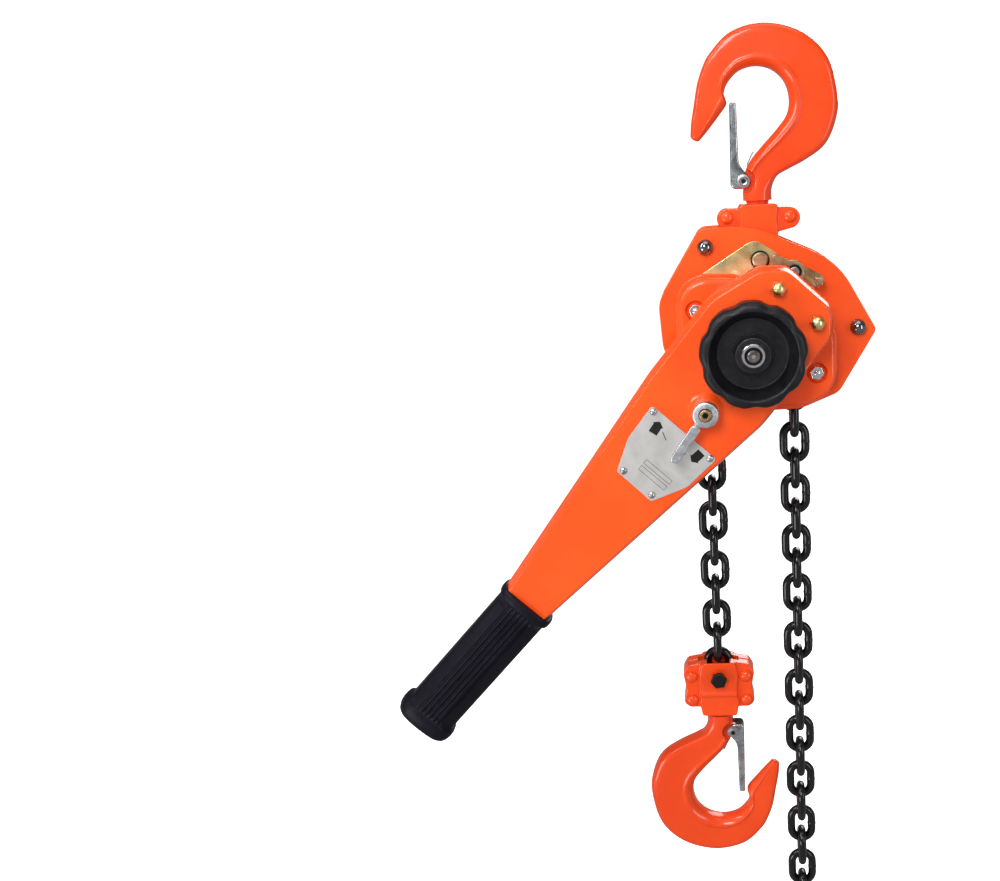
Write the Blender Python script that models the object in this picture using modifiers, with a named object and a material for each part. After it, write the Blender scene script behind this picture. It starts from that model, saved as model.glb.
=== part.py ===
"""Lever chain hoist: frame, brake, gear train, lever, load chain and two swivel hooks.

The origin is the point of the top hook's bowl that carries the load. +Z is up and the
hand wheel faces -Y. Every size below is in millimetres, and MM turns it into metres.
"""

from math import atan2, ceil, cos, degrees, hypot, pi, radians, sin, tan

import bmesh
import bpy
from mathutils import Matrix, Vector

MM = 0.001
GAP = 0.3

# Load chain
PITCH = 21.6
WIRE = 7.0
LINK_WIDTH = 24.6
FUSE = 2.2
TAIL_LINKS = 25
LOAD_LINKS = 14

# Drive axis, which the sheave, gears, brake, lever and hand wheel share
AXIS_X, AXIS_Z = -9.0, -206.0
LINKS_PER_TURN = 10
CHAIN_RADIUS = PITCH / 2 / tan(pi / LINKS_PER_TURN)
RUN_OFFSET = 34.0
LOAD_X = AXIS_X - RUN_OFFSET
TAIL_X = AXIS_X + RUN_OFFSET

# Frame
PLATE_IN, PLATE_OUT = 14.6, 18.6
PIN_Z = -143.0
STAYS = {"left": (-41.5, -132.0), "right": (74.3, -198.1), "bottom": (-9.0, -255.0)}
STAY_RADIUS = 4.0

# Gear train: the drive pinion turns two disc gears, whose small pinions turn the load gear
DISC_MODULE, PINION_TEETH, DISC_TEETH = 1.25, 9, 32
LOAD_MODULE, SMALL_TEETH, LOAD_TEETH = 1.6, 8, 24
DISC_DISTANCE = DISC_MODULE * (PINION_TEETH + DISC_TEETH) / 2
DISC_ANGLES = {"upper": 75.0, "lower": 255.0}
LOAD_GEAR_Y = (24.0, 34.0)
DISC_GEAR_Y = (37.0, 44.0)
SHAFT_RADIUS = 4.4
HUB_RADIUS = 8.6
BEARING_RADIUS = 12.6

# Lever, in its own frame: S runs from the drive axis to the grip, T across it
LEVER_ANGLE = radians(226.9)
LEVER_FRONT, LEVER_SPLIT, LEVER_BACK = -72.0, -59.0, -46.0
LEVER_WALL = 2.0
LEVER_BOLTS = {"upper": (-47.0, -17.0), "right": (-47.0, 21.0)}
SELECTOR_S, SELECTOR_T = 56.0, 3.0
CHANGE_TEETH, CHANGE_MODULE = 18, 2.0

# Brake
COVER_FRONT = -41.4
RATCHET_TEETH, RATCHET_RADIUS = 16, 34.0
PAWL_X, PAWL_Z = 25.0, -151.5
COVER_NUTS = {"left": (-50.0, -178.0), "right": (40.5, -229.0)}

# Bottom block and hook
BOLT_Z = AXIS_Z - (LOAD_LINKS - 1) * PITCH - PITCH / 2 + 4.4 + FUSE / 2
BLOCK_BOTTOM = BOLT_Z - 35.5

# Hooks, measured from the bowl's bearing point along the shank
HOLDER_FACE = 101.4
NECK_RADIUS, HEAD_RADIUS = 8.5, 12.0
HEAD_TOP, HEAD_END = 108.4, 116.0
HOLDER_HALF = 14.2
LATCH_X, LATCH_Z = -10.6, -84.0
BOTTOM_BEARING = BLOCK_BOTTOM - HOLDER_FACE

ORANGE = ("orange_enamel", (0.90, 0.10, 0.02), 0.32, 0.0)
DARK = ("black_oxide", (0.012, 0.012, 0.014), 0.35, 0.6)
RUBBER = ("black_rubber", (0.02, 0.021, 0.025), 0.55, 0.0)
CAST = ("black_cast", (0.02, 0.02, 0.024), 0.5, 0.2)
ZINC = ("bright_zinc", (0.75, 0.77, 0.8), 0.22, 1.0)
GOLD = ("yellow_zinc", (0.75, 0.55, 0.22), 0.3, 1.0)
STEEL = ("machined_steel", (0.5, 0.5, 0.52), 0.35, 1.0)
LINING = ("friction_lining", (0.2, 0.15, 0.12), 0.8, 0.0)
ALLOY = ("brushed_alloy", (0.7, 0.7, 0.7), 0.4, 1.0)


# Scene helpers -----------------------------------------------------------------------


def new_collection(name, hidden=False):
    made = bpy.data.collections.new(name)
    made.hide_render = hidden
    bpy.context.scene.collection.children.link(made)
    return made


def material(look):
    name, colour, roughness, metallic = look
    made = bpy.data.materials.get(name)
    if made is None:
        made = bpy.data.materials.new(name)
        made.use_nodes = True
        shader = made.node_tree.nodes["Principled BSDF"]
        shader.inputs["Base Color"].default_value = (*colour, 1.0)
        shader.inputs["Roughness"].default_value = roughness
        shader.inputs["Metallic"].default_value = metallic
    return made


def pivot(name, x, y, z):
    """An empty on a joint's axis. The pieces that turn or slide with it are its children."""
    empty = bpy.data.objects.new(name, None)
    empty.location = Vector((x, y, z)) * MM
    parts.objects.link(empty)
    return empty


def piece(name, mesh, look, body=None):
    """A node from a mesh whose points are in world millimetres."""
    origin = body.location if body else Vector()
    mesh.transform(Matrix.Translation(-origin) @ Matrix.Scale(MM, 4))
    obj = bpy.data.objects.new(name, mesh)
    obj.parent = body
    parts.objects.link(obj)
    mesh.materials.clear()
    mesh.materials.append(material(look))
    mesh.shade_smooth()
    mesh.set_sharp_from_angle(angle=radians(35))
    return obj


def helper(mesh, name):
    mesh.transform(Matrix.Scale(MM, 4))
    obj = bpy.data.objects.new(name, mesh)
    obj.hide_render = True
    obj.display_type = "WIRE"
    cutters.objects.link(obj)
    return obj


def combine(obj, mesh, operation):
    modifier = obj.modifiers.new(operation.lower(), "BOOLEAN")
    modifier.operation = operation
    modifier.solver = "EXACT"
    modifier.object = helper(mesh, f"{obj.name}_{operation.lower()}_{len(obj.modifiers)}")


def cut(obj, mesh):
    combine(obj, mesh, "DIFFERENCE")


def join(obj, mesh):
    combine(obj, mesh, "UNION")


# Shape helpers, all in millimetres ---------------------------------------------------


def mesh_of(bm, name="shape"):
    mesh = bpy.data.meshes.new(name)
    bmesh.ops.recalc_face_normals(bm, faces=bm.faces)
    bm.to_mesh(mesh)
    bm.free()
    return mesh


def curve_mesh(curve, matrix=None):
    """The closed mesh of a curve, its caps welded to its sides."""
    obj = bpy.data.objects.new("curve", curve)
    bpy.context.scene.collection.objects.link(obj)
    bpy.context.view_layer.update()
    mesh = bpy.data.meshes.new_from_object(obj.evaluated_get(bpy.context.evaluated_depsgraph_get()))
    bpy.data.objects.remove(obj)
    bpy.data.curves.remove(curve)
    bm = bmesh.new()
    bm.from_mesh(mesh)
    bmesh.ops.remove_doubles(bm, verts=bm.verts, dist=1e-4)
    bmesh.ops.transform(bm, matrix=matrix or Matrix(), verts=bm.verts)
    bpy.data.meshes.remove(mesh)
    return mesh_of(bm)


def segments(radius):
    """How many sides a round shape of this radius has."""
    return 4 * max(2, min(7, round(radius**0.5 * 1.2)))


def circle(x, z, radius, points=None, start=0.0):
    points = points or segments(radius)
    return [
        (x + radius * cos(start + 2 * pi * i / points), z + radius * sin(start + 2 * pi * i / points))
        for i in range(points)
    ]


def rounded(corners, step=26.0):
    """An outline from corners (x, z, radius), with an arc of that radius at each corner."""
    outline = []
    for i, (x, z, radius) in enumerate(corners):
        before, after = Vector(corners[i - 1][:2]), Vector(corners[(i + 1) % len(corners)][:2])
        here = Vector((x, z))
        back, ahead = (before - here).normalized(), (after - here).normalized()
        turn = pi - back.angle(ahead)
        if radius <= 0 or turn < 1e-3:
            outline.append((x, z))
            continue
        reach = radius * tan(turn / 2)
        centre = here + (back + ahead).normalized() * hypot(reach, radius)
        first = here + back * reach - centre
        last = here + ahead * reach - centre
        start = atan2(first.y, first.x)
        sweep = (atan2(last.y, last.x) - start + pi) % (2 * pi) - pi
        count = max(1, ceil(abs(degrees(sweep)) / step))
        for k in range(count + 1):
            angle = start + sweep * k / count
            outline.append((centre.x + radius * cos(angle), centre.y + radius * sin(angle)))
    return outline


def slab(outline, y_front, y_back, holes=()):
    """A flat outline in X and Z, as thick as the stretch of Y, with holes through it."""
    curve = bpy.data.curves.new("outline", "CURVE")
    curve.dimensions = "2D"
    curve.fill_mode = "BOTH"
    curve.extrude = (y_back - y_front) / 2
    for loop in (outline, *holes):
        spline = curve.splines.new("POLY")
        spline.points.add(len(loop) - 1)
        for point, (x, z) in zip(spline.points, loop):
            point.co = (x, z, 0.0, 1.0)
        spline.use_cyclic_u = True
    middle = Matrix.Translation((0.0, (y_front + y_back) / 2, 0.0))
    return curve_mesh(curve, middle @ Matrix.Rotation(pi / 2, 4, "X"))


def turned(x, z, profile, upright=False, y=0.0):
    """A profile of (radius, height) turned about an axis. Height runs to the front, along -Y.

    On an upright axis it runs up, and starts from z. A profile that starts and ends off the
    axis closes into a ring.
    """
    mesh = bpy.data.meshes.new("profile")
    ring = profile[0][0] > 0 and profile[-1][0] > 0
    count = len(profile)
    edges = [(i, (i + 1) % count) for i in range(count if ring else count - 1)]
    mesh.from_pydata([(r, 0.0, h) for r, h in profile], edges, [])
    obj = bpy.data.objects.new("turned", mesh)
    bpy.context.scene.collection.objects.link(obj)
    screw = obj.modifiers.new("screw", "SCREW")
    screw.steps = screw.render_steps = segments(max(r for r, _ in profile))
    screw.use_merge_vertices = True
    screw.merge_threshold = 1e-5
    bpy.context.view_layer.update()
    made = bpy.data.meshes.new_from_object(obj.evaluated_get(bpy.context.evaluated_depsgraph_get()))
    bpy.data.objects.remove(obj)
    bpy.data.meshes.remove(mesh)
    bm = bmesh.new()
    bm.from_mesh(made)
    bpy.data.meshes.remove(made)
    turn = Matrix() if upright else Matrix.Rotation(pi / 2, 4, "X")
    bmesh.ops.transform(bm, matrix=Matrix.Translation((x, y, z)) @ turn, verts=bm.verts)
    return mesh_of(bm)


def rod(x, z, y_front, y_back, radius):
    return turned(x, z, [(0, -y_front), (radius, -y_front), (radius, -y_back), (0, -y_back)])


def tube(x, z, y_front, y_back, outer, inner):
    front, back = -y_front, -y_back
    return turned(x, z, [(inner, front), (outer, front), (outer, back), (inner, back)])


def block(low, high, matrix=None):
    bm = bmesh.new()
    bmesh.ops.create_cube(bm, size=1.0)
    low, high = Vector(low), Vector(high)
    bmesh.ops.scale(bm, vec=high - low, verts=bm.verts)
    bmesh.ops.translate(bm, vec=(low + high) / 2, verts=bm.verts)
    bmesh.ops.transform(bm, matrix=matrix or Matrix(), verts=bm.verts)
    return mesh_of(bm)


def merged(meshes):
    """One mesh of several closed ones, still separate bodies until a Boolean joins them."""
    bm = bmesh.new()
    for mesh in meshes:
        bm.from_mesh(mesh)
        bpy.data.meshes.remove(mesh)
    return mesh_of(bm)


def wire(points, radius, cyclic=False, resolution=1):
    curve = bpy.data.curves.new("wire", "CURVE")
    curve.dimensions = "3D"
    curve.bevel_depth = radius
    curve.bevel_resolution = resolution
    curve.use_fill_caps = True
    for loop in points if cyclic else [points]:
        spline = curve.splines.new("POLY")
        spline.points.add(len(loop) - 1)
        for point, place in zip(spline.points, loop):
            point.co = (*place, 1.0)
        spline.use_cyclic_u = cyclic
    return curve_mesh(curve)


def hexagon(x, z, across_flats, y_front, y_back, bore=0.0):
    outline = circle(x, z, across_flats / 2 / cos(pi / 6), 6, pi / 6)
    return slab(outline, y_front, y_back, [circle(x, z, bore)] if bore else [])


def dome_profile(radius, height, foot):
    """The points of a round head above its foot, from the middle outwards."""
    return [(radius * cos(i * pi / 6), foot + height * sin(i * pi / 6)) for i in (3, 2, 1)]


def dome(x, z, radius, height, y_base):
    """A round head standing from y_base towards the front."""
    points = [(0, height - y_base), *dome_profile(radius, height, -y_base)[1:]]
    return turned(x, z, [*points, (radius, -y_base), (0, -y_base)])


def rivet(x, z, shank, radius, height, half):
    """A rivet along Y with a round head on each side."""
    head = [(0, half + height), *dome_profile(radius, height, half)[1:], (radius, half), (shank, half)]
    return turned(x, z, [*head, *((r, -h) for r, h in reversed(head))])


def gear(x, z, teeth, module, phase, y_front, y_back, bore=0.0):
    """A spur gear whose first tooth points along phase, in degrees."""
    pitch_radius = module * teeth / 2
    tip, root = pitch_radius + 0.72 * module, pitch_radius - 1.0 * module
    tooth = 2 * pi / teeth
    outline = []
    for i in range(teeth):
        middle = radians(phase) + i * tooth
        for radius, share in ((root, -0.31), (tip, -0.12), (tip, 0.12), (root, 0.31)):
            angle = middle + share * tooth
            outline.append((x + radius * cos(angle), z + radius * sin(angle)))
    return slab(outline, y_front, y_back, [circle(x, z, bore)] if bore else [])


def meshing_phase(angle, phase, teeth, other_teeth):
    """The phase of a gear that lies along angle from one with the given phase."""
    tooth = 360 / teeth
    ahead = (phase - angle) % tooth
    return angle + 180 - ahead * teeth / other_teeth + 180 / other_teeth


def offset(outline, inset):
    """A convex outline moved in by inset all round."""
    count = len(outline)
    centre = sum((Vector(point) for point in outline), Vector((0, 0))) / count
    lines = []
    for i in range(count):
        a, b = Vector(outline[i]), Vector(outline[(i + 1) % count])
        along = (b - a).normalized()
        normal = Vector((-along.y, along.x))
        if normal.dot(centre - a) < 0:
            normal.negate()
        lines.append((a + normal * inset, along))
    moved = []
    for i in range(count):
        (p, u), (q, v) = lines[i - 1], lines[i]
        cross = u.x * v.y - u.y * v.x
        if abs(cross) < 1e-6:
            moved.append(tuple(q))
            continue
        gap = q - p
        moved.append(tuple(p + u * ((gap.x * v.y - gap.y * v.x) / cross)))
    return moved


def on_lever(s, t):
    """World X and Z of a point in the lever's own frame."""
    along, across = (cos(LEVER_ANGLE), sin(LEVER_ANGLE)), (-sin(LEVER_ANGLE), cos(LEVER_ANGLE))
    return AXIS_X + s * along[0] + t * across[0], AXIS_Z + s * along[1] + t * across[1]


def lever_matrix():
    """From the lever's frame, X along it and Z across it, to the world."""
    x, z = on_lever(0, 0)
    return Matrix.Translation((x, 0, z)) @ Matrix.Rotation(-LEVER_ANGLE, 4, "Y")


# Chain -------------------------------------------------------------------------------


def link_path(x, z, tilt, face_on, up=0.0, down=0.0):
    """The middle line of a link at (x, z). tilt turns it about Y, up and down lengthen its ends."""
    limb = (LINK_WIDTH - WIRE) / 2
    path = []
    for end, extra in ((1, up), (-1, down)):
        crown = (PITCH - FUSE + WIRE) / 2 + extra
        for across, drop in ((1, limb), (0.5, 0), (-0.5, 0), (-1, limb)):
            path.append((end * across * limb, end * (crown - drop)))
    placed = []
    for across, along in path:
        side = across if face_on else 0.0
        depth = 0.0 if face_on else across
        placed.append(
            (x + side * cos(tilt) - along * sin(tilt), depth, z + side * sin(tilt) + along * cos(tilt))
        )
    return placed


def chain(name, links, body):
    """Links as one solid: the face-on ones, joined to the edge-on ones where they hook together."""
    faces = [link_path(*link) for link in links if link[3]]
    edges = [link_path(*link) for link in links if not link[3]]
    obj = piece(name, wire(faces, WIRE / 2, cyclic=True), DARK, body)
    join(obj, wire(edges, WIRE / 2, cyclic=True))
    return obj


# Where a straight run hooks into the sheave's links, its crown stops just past the point
# where their middle lines meet, and theirs reaches further, so that the joint can turn.
RUN_END = 0.5 - (WIRE - FUSE) / 2
SHEAVE_END = 7.4 - (WIRE - FUSE) / 2


def build_chain():
    tail = pivot("tail_run", TAIL_X, 0, AXIS_Z)
    links = [
        (TAIL_X, AXIS_Z - m * PITCH, 0.0, m % 2 == 0, RUN_END if m == 1 else 0.0)
        for m in range(1, TAIL_LINKS + 1)
    ]
    chain("tail_chain", links, tail)
    end_z = AXIS_Z - TAIL_LINKS * PITCH - PITCH / 2
    ring_radius = 10.0
    ring = [
        (TAIL_X + ring_radius * cos(a), 0.0, end_z - ring_radius + 4.6 + ring_radius * sin(a))
        for a in (2 * pi * i / 16 for i in range(16))
    ]
    piece("tail_ring", wire([ring], 2.5, cyclic=True), ZINC, tail)

    load = pivot("load_run", LOAD_X, 0, AXIS_Z)
    links = [
        (LOAD_X, AXIS_Z - m * PITCH, 0.0, m % 2 == 1, RUN_END if m == 0 else 0.0)
        for m in range(LOAD_LINKS)
    ]
    chain("load_chain", links, load)
    bolt = piece("anchor_bolt", rod(LOAD_X, BOLT_Z, -18.2, 13.6, 3.9), DARK, load)
    join(bolt, hexagon(LOAD_X, BOLT_Z, 12.0, -22.6, -17.9))
    return load


def build_sheave():
    """The load sheave with its five pockets, and the links that lie on it."""
    body = pivot("sheave_axis", AXIS_X, 0, AXIS_Z)
    shoulder, groove, rim = 28.5, 19.6, 13.2
    bore, end = SHAFT_RADIUS + GAP, LOAD_GEAR_Y[1] + 2.0
    profile = [
        (bore, PLATE_OUT),
        (HUB_RADIUS, PLATE_OUT),
        (HUB_RADIUS, rim),
        (shoulder, rim),
        (shoulder, 4.3),
        (groove, 4.3),
        (groove, -4.3),
        (shoulder, -4.3),
        (shoulder, -rim),
        (HUB_RADIUS, -rim),
        (HUB_RADIUS, -end),
        (bore, -end),
    ]
    sheave = piece("load_sheave", turned(AXIS_X, AXIS_Z, profile), STEEL, body)
    teeth = []
    for k in range(5):
        turn = Matrix.Translation((AXIS_X, 0, AXIS_Z)) @ Matrix.Rotation(-radians(72 * k), 4, "Y")
        for side in (-1, 1):
            low, high = sorted((side * 5.6, side * 12.9))
            teeth.append(block((26.0, low, -2.2), (35.0, high, 2.2), turn))
    join(sheave, merged(teeth))
    links = []
    for k in range(5):
        angle = radians(36 * k)
        x, z = AXIS_X + CHAIN_RADIUS * cos(angle), AXIS_Z + CHAIN_RADIUS * sin(angle)
        links.append(
            (x, z, angle, k % 2 == 0, SHEAVE_END if k == 4 else 0.0, SHEAVE_END if k == 0 else 0.0)
        )
    chain("sheave_chain", links, body)
    teeth_phase = DISC_ANGLES["upper"]
    mesh = gear(AXIS_X, AXIS_Z, LOAD_TEETH, LOAD_MODULE, teeth_phase, *LOAD_GEAR_Y, bore=HUB_RADIUS + GAP)
    piece("load_gear", mesh, STEEL, body)


# Frame -------------------------------------------------------------------------------


def plate_outline():
    return rounded(
        [
            (-45.5, -117.8, 9),
            (-6.0, -117.0, 90),
            (59.0, -147.0, 60),
            (88.6, -200.5, 5),
            (59.5, -249.0, 14),
            (30.0, -261.0, 30),
            (-36.0, -263.0, 40),
            (-77.0, -214.0, 32),
            (-79.5, -172.5, 26),
        ]
    )


def build_frame():
    holes = [circle(x, z, STAY_RADIUS + GAP) for x, z in STAYS.values()]
    holes.append(circle(0.0, PIN_Z, 6.0 + GAP))
    holes.append(circle(AXIS_X, AXIS_Z, BEARING_RADIUS + GAP))
    for name, front in (("front", -PLATE_OUT), ("rear", PLATE_IN)):
        thickness = PLATE_OUT - PLATE_IN
        piece(f"side_plate_{name}", slab(plate_outline(), front, front + thickness, holes), ORANGE)
        ring = tube(
            AXIS_X, AXIS_Z, front + GAP, front + thickness - GAP, BEARING_RADIUS, HUB_RADIUS + GAP
        )
        piece(f"sheave_bearing_{name}", ring, STEEL)
    spacer = PLATE_IN - GAP
    for name, (x, z) in STAYS.items():
        face = PLATE_OUT + GAP
        head = [] if name == "bottom" else [(0, face + 7.4), *dome_profile(6.2, 7.4, face)[1:], (6.2, face)]
        profile = [
            *(head or [(0, face)]),
            (STAY_RADIUS, face),
            (STAY_RADIUS, spacer),
            (STAY_RADIUS + 1.6, spacer),
            (STAY_RADIUS + 1.6, -spacer),
            (STAY_RADIUS, -spacer),
            (STAY_RADIUS, -face),
            (0, -face),
        ]
        piece(f"stay_bolt_{name}", turned(x, z, profile), DARK)
    pin = piece("yoke_pin", rod(0.0, PIN_Z, -27.0, PLATE_OUT + 4.0, 6.0), GOLD)
    join(pin, rod(0.0, PIN_Z, -28.6, -26.8, 6.3))
    guide = rounded([(-19.0, -247.6, 3), (1.0, -247.6, 3), (1.0, -262.0, 4), (-19.0, -262.0, 4)])
    bore = STAY_RADIUS + 1.6 + GAP
    piece("chain_guide", slab(guide, -9.0, 9.0, [circle(*STAYS["bottom"], bore)]), STEEL)


def build_gear_cover():
    """A dished cover over the gears, on the rear side plate."""
    inner, outer, wall, back = 49.3, 52.0, 2.5, -61.0
    front = -PLATE_OUT - GAP
    profile = [
        (0, back + wall),
        (inner - 7, back + wall),
        (inner, back + 9),
        (inner, front),
        (outer + 4, front),
        (outer + 4, front - 3),
        (outer, front - 3),
        (outer, back + 9),
        (outer - 4, back + 2.5),
        (outer - 9, back),
        (0, back),
    ]
    piece("gear_cover", turned(AXIS_X, AXIS_Z, profile), ORANGE)


# Gear train --------------------------------------------------------------------------


def build_gears():
    drive = pivot("drive_axis", AXIS_X, 0, AXIS_Z)
    shaft = piece("drive_shaft", rod(AXIS_X, AXIS_Z, -93.0, 50.0, SHAFT_RADIUS), STEEL, drive)
    pinion_phase = DISC_ANGLES["upper"]
    join(shaft, gear(AXIS_X, AXIS_Z, PINION_TEETH, DISC_MODULE, pinion_phase, *DISC_GEAR_Y))
    for name, angle in DISC_ANGLES.items():
        x = AXIS_X + DISC_DISTANCE * cos(radians(angle))
        z = AXIS_Z + DISC_DISTANCE * sin(radians(angle))
        body = pivot(f"{name}_disc_axis", x, 0, z)
        phase = meshing_phase(angle, pinion_phase, PINION_TEETH, DISC_TEETH)
        disc = piece(
            f"disc_gear_{name}", gear(x, z, DISC_TEETH, DISC_MODULE, phase, *DISC_GEAR_Y), STEEL, body
        )
        phase = meshing_phase(angle, DISC_ANGLES["upper"], LOAD_TEETH, SMALL_TEETH)
        small = gear(x, z, SMALL_TEETH, LOAD_MODULE, phase, LOAD_GEAR_Y[0], DISC_GEAR_Y[0] + 1.0)
        join(disc, small)
        join(disc, rod(x, z, PLATE_OUT + 1.0, DISC_GEAR_Y[1] + 8.0, 3.5))
    return drive


# Load brake --------------------------------------------------------------------------


def cover_outline():
    return rounded(
        [
            (-66.0, -150.5, 24),
            (-20.0, -152.5, 40),
            (30.0, -172.0, 60),
            (57.5, -196.0, 24),
            (57.5, -252.5, 26),
            (10.0, -257.0, 40),
            (-44.0, -244.0, 36),
            (-66.0, -206.0, 30),
        ]
    )


def ratchet_outline():
    outline = []
    for i in range(RATCHET_TEETH):
        start = 2 * pi * i / RATCHET_TEETH
        for radius, share in ((RATCHET_RADIUS - 4, 0.0), (RATCHET_RADIUS, 0.72), (RATCHET_RADIUS, 0.9)):
            angle = start + share * 2 * pi / RATCHET_TEETH
            outline.append((AXIS_X + radius * cos(angle), AXIS_Z + radius * sin(angle)))
    return outline


def build_brake(drive):
    bore = SHAFT_RADIUS + GAP
    hub = [
        (bore, 33.0),
        (8.0, 33.0),
        (8.0, 24.6),
        (23.0, 24.6),
        (23.0, 21.9),
        (bore, 21.9),
    ]
    piece("brake_hub", turned(AXIS_X, AXIS_Z, hub), STEEL, drive)
    for name, front in (("inner", -27.1), ("outer", -33.2)):
        disc = tube(AXIS_X, AXIS_Z, front, front + 2.2, 23.0, 8.0 + GAP)
        piece(f"friction_disc_{name}", disc, LINING)
    teeth = slab(ratchet_outline(), -30.7, -27.4, [circle(AXIS_X, AXIS_Z, 8.0 + GAP)])
    piece("ratchet_disc", teeth, STEEL)

    plate = rounded(
        [
            (-62.0, -153.5, 20),
            (-47.0, -153.5, 6),
            (-4.0, -127.0, 10),
            (12.0, -138.0, 5),
            (38.0, -162.0, 10),
            (55.0, -190.0, 20),
            (55.0, -250.0, 24),
            (10.0, -254.0, 40),
            (-44.0, -241.0, 34),
            (-64.0, -206.0, 30),
        ]
    )
    rear = -PLATE_OUT - GAP
    holes = [circle(AXIS_X, AXIS_Z, 25.0), circle(0.0, PIN_Z, 6.0 + GAP)]
    holes.append(circle(PAWL_X, PAWL_Z, 3.5 + GAP))
    piece("pawl_plate", slab(plate, rear - 2.4, rear, holes), GOLD)

    rim = rear - 2.4 - GAP
    cover = piece("brake_cover", slab(cover_outline(), COVER_FRONT, rim), ORANGE)
    cut(cover, rod(AXIS_X, AXIS_Z, COVER_FRONT + 2.6, rim + 1.0, 37.0))
    cut(cover, rod(AXIS_X, AXIS_Z, COVER_FRONT - 1.0, rim + 1.0, 12.5))
    cut(cover, block((-4.0, -38.0, -178.0), (46.0, rim + 1.0, -140.0)))
    for name, (x, z) in COVER_NUTS.items():
        cut(cover, rod(x, z, COVER_FRONT - 1.0, COVER_FRONT + 3.0, 7.8))
        cut(cover, rod(x, z, COVER_FRONT - 1.0, rim + 1.0, 2.8))
        nut = hexagon(x, z, 9.4, COVER_FRONT - 0.8, COVER_FRONT + 3.0 - GAP)
        stud = piece(f"cover_nut_{name}", nut, ZINC)
        join(stud, rod(x, z, COVER_FRONT - 1.6, rim - GAP, 2.5))

    post = piece("pawl_post", rod(PAWL_X, PAWL_Z, -40.5, rear + 0.1, 3.5), STEEL)
    join(post, rod(PAWL_X, PAWL_Z, -39.0, -37.8, 5.2))
    front_pawl = rounded(
        [
            (8.6, -137.4, 1.5),
            (30.0, -146.8, 6),
            (33.5, -155.0, 4),
            (15.0, -169.5, 2),
            (8.0, -175.0, 1),
            (8.5, -167.0, 3),
            (15.0, -156.5, 4),
            (9.5, -146.0, 1.5),
        ]
    )
    rear_pawl = rounded(
        [
            (16.5, -144.0, 3),
            (27.0, -143.0, 7),
            (34.0, -149.5, 4),
            (46.0, -155.5, 2),
            (48.5, -160.5, 2),
            (43.0, -165.5, 2),
            (30.0, -160.0, 3),
            (18.0, -158.0, 4),
        ]
    )
    bore = 3.5 + GAP
    for name, outline, front in (("front", front_pawl, -37.4), ("rear", rear_pawl, -30.4)):
        body = pivot(f"{name}_pawl_axis", PAWL_X, 0, PAWL_Z)
        hole = circle(PAWL_X, PAWL_Z, bore)
        pawl = piece(f"pawl_{name}", slab(outline, front, front + 5.4, [hole]), GOLD, body)
        if name == "rear":
            join(pawl, block((41.5, -35.2, -163.0), (46.0, -28.0, -157.5)))


def build_wheel(drive):
    bore = SHAFT_RADIUS + GAP
    hub = [
        (bore, 75.2),
        (11.0, 75.2),
        (11.0, 38.2),
        (22.0, 38.2),
        (22.0, 33.5),
        (bore, 33.5),
    ]
    change = piece("change_gear", turned(AXIS_X, AXIS_Z, hub), STEEL, drive)
    wheel_teeth = gear(AXIS_X, AXIS_Z, CHANGE_TEETH, CHANGE_MODULE, 0.0, -66.0, -51.0, bore=10.0)
    join(change, wheel_teeth)

    lobes, radius, points = 9, 38.2, 54
    outline = []
    for i in range(points):
        angle = 2 * pi * i / points
        reach = radius + 1.5 * cos(lobes * angle)
        outline.append((AXIS_X + reach * cos(angle), AXIS_Z + reach * sin(angle)))
    wheel = piece("hand_wheel", slab(outline, -94.5, -75.5), CAST, drive)
    dish = [(13.5, 96.0), (32.5, 96.0), (32.0, 92.0), (27.0, 79.5), (13.5, 79.5)]
    cut(wheel, turned(AXIS_X, AXIS_Z, dish))
    cut(wheel, rod(AXIS_X, AXIS_Z, -97.0, -88.5, 13.6))
    cut(wheel, rod(AXIS_X, AXIS_Z, -97.0, -70.0, bore))
    nut = tube(AXIS_X, AXIS_Z, -91.0, -88.8, 8.8, bore)
    piece("wheel_nut", nut, ZINC, drive)


# Lever -------------------------------------------------------------------------------


def lever_outline():
    corners = [
        (300.0, -17.0, 0),
        (64.0, -46.0, 90),
        (-10.0, -50.0, 45),
        (-48.0, -38.0, 22),
        (-62.7, -22.0, 14),
        (-62.7, 24.0, 14),
        (-46.0, 38.0, 14),
        (38.0, 43.5, 70),
        (300.0, 16.5, 0),
    ]
    return rounded(corners)


def to_world(outline):
    return [on_lever(s, t) for s, t in outline]


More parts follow.
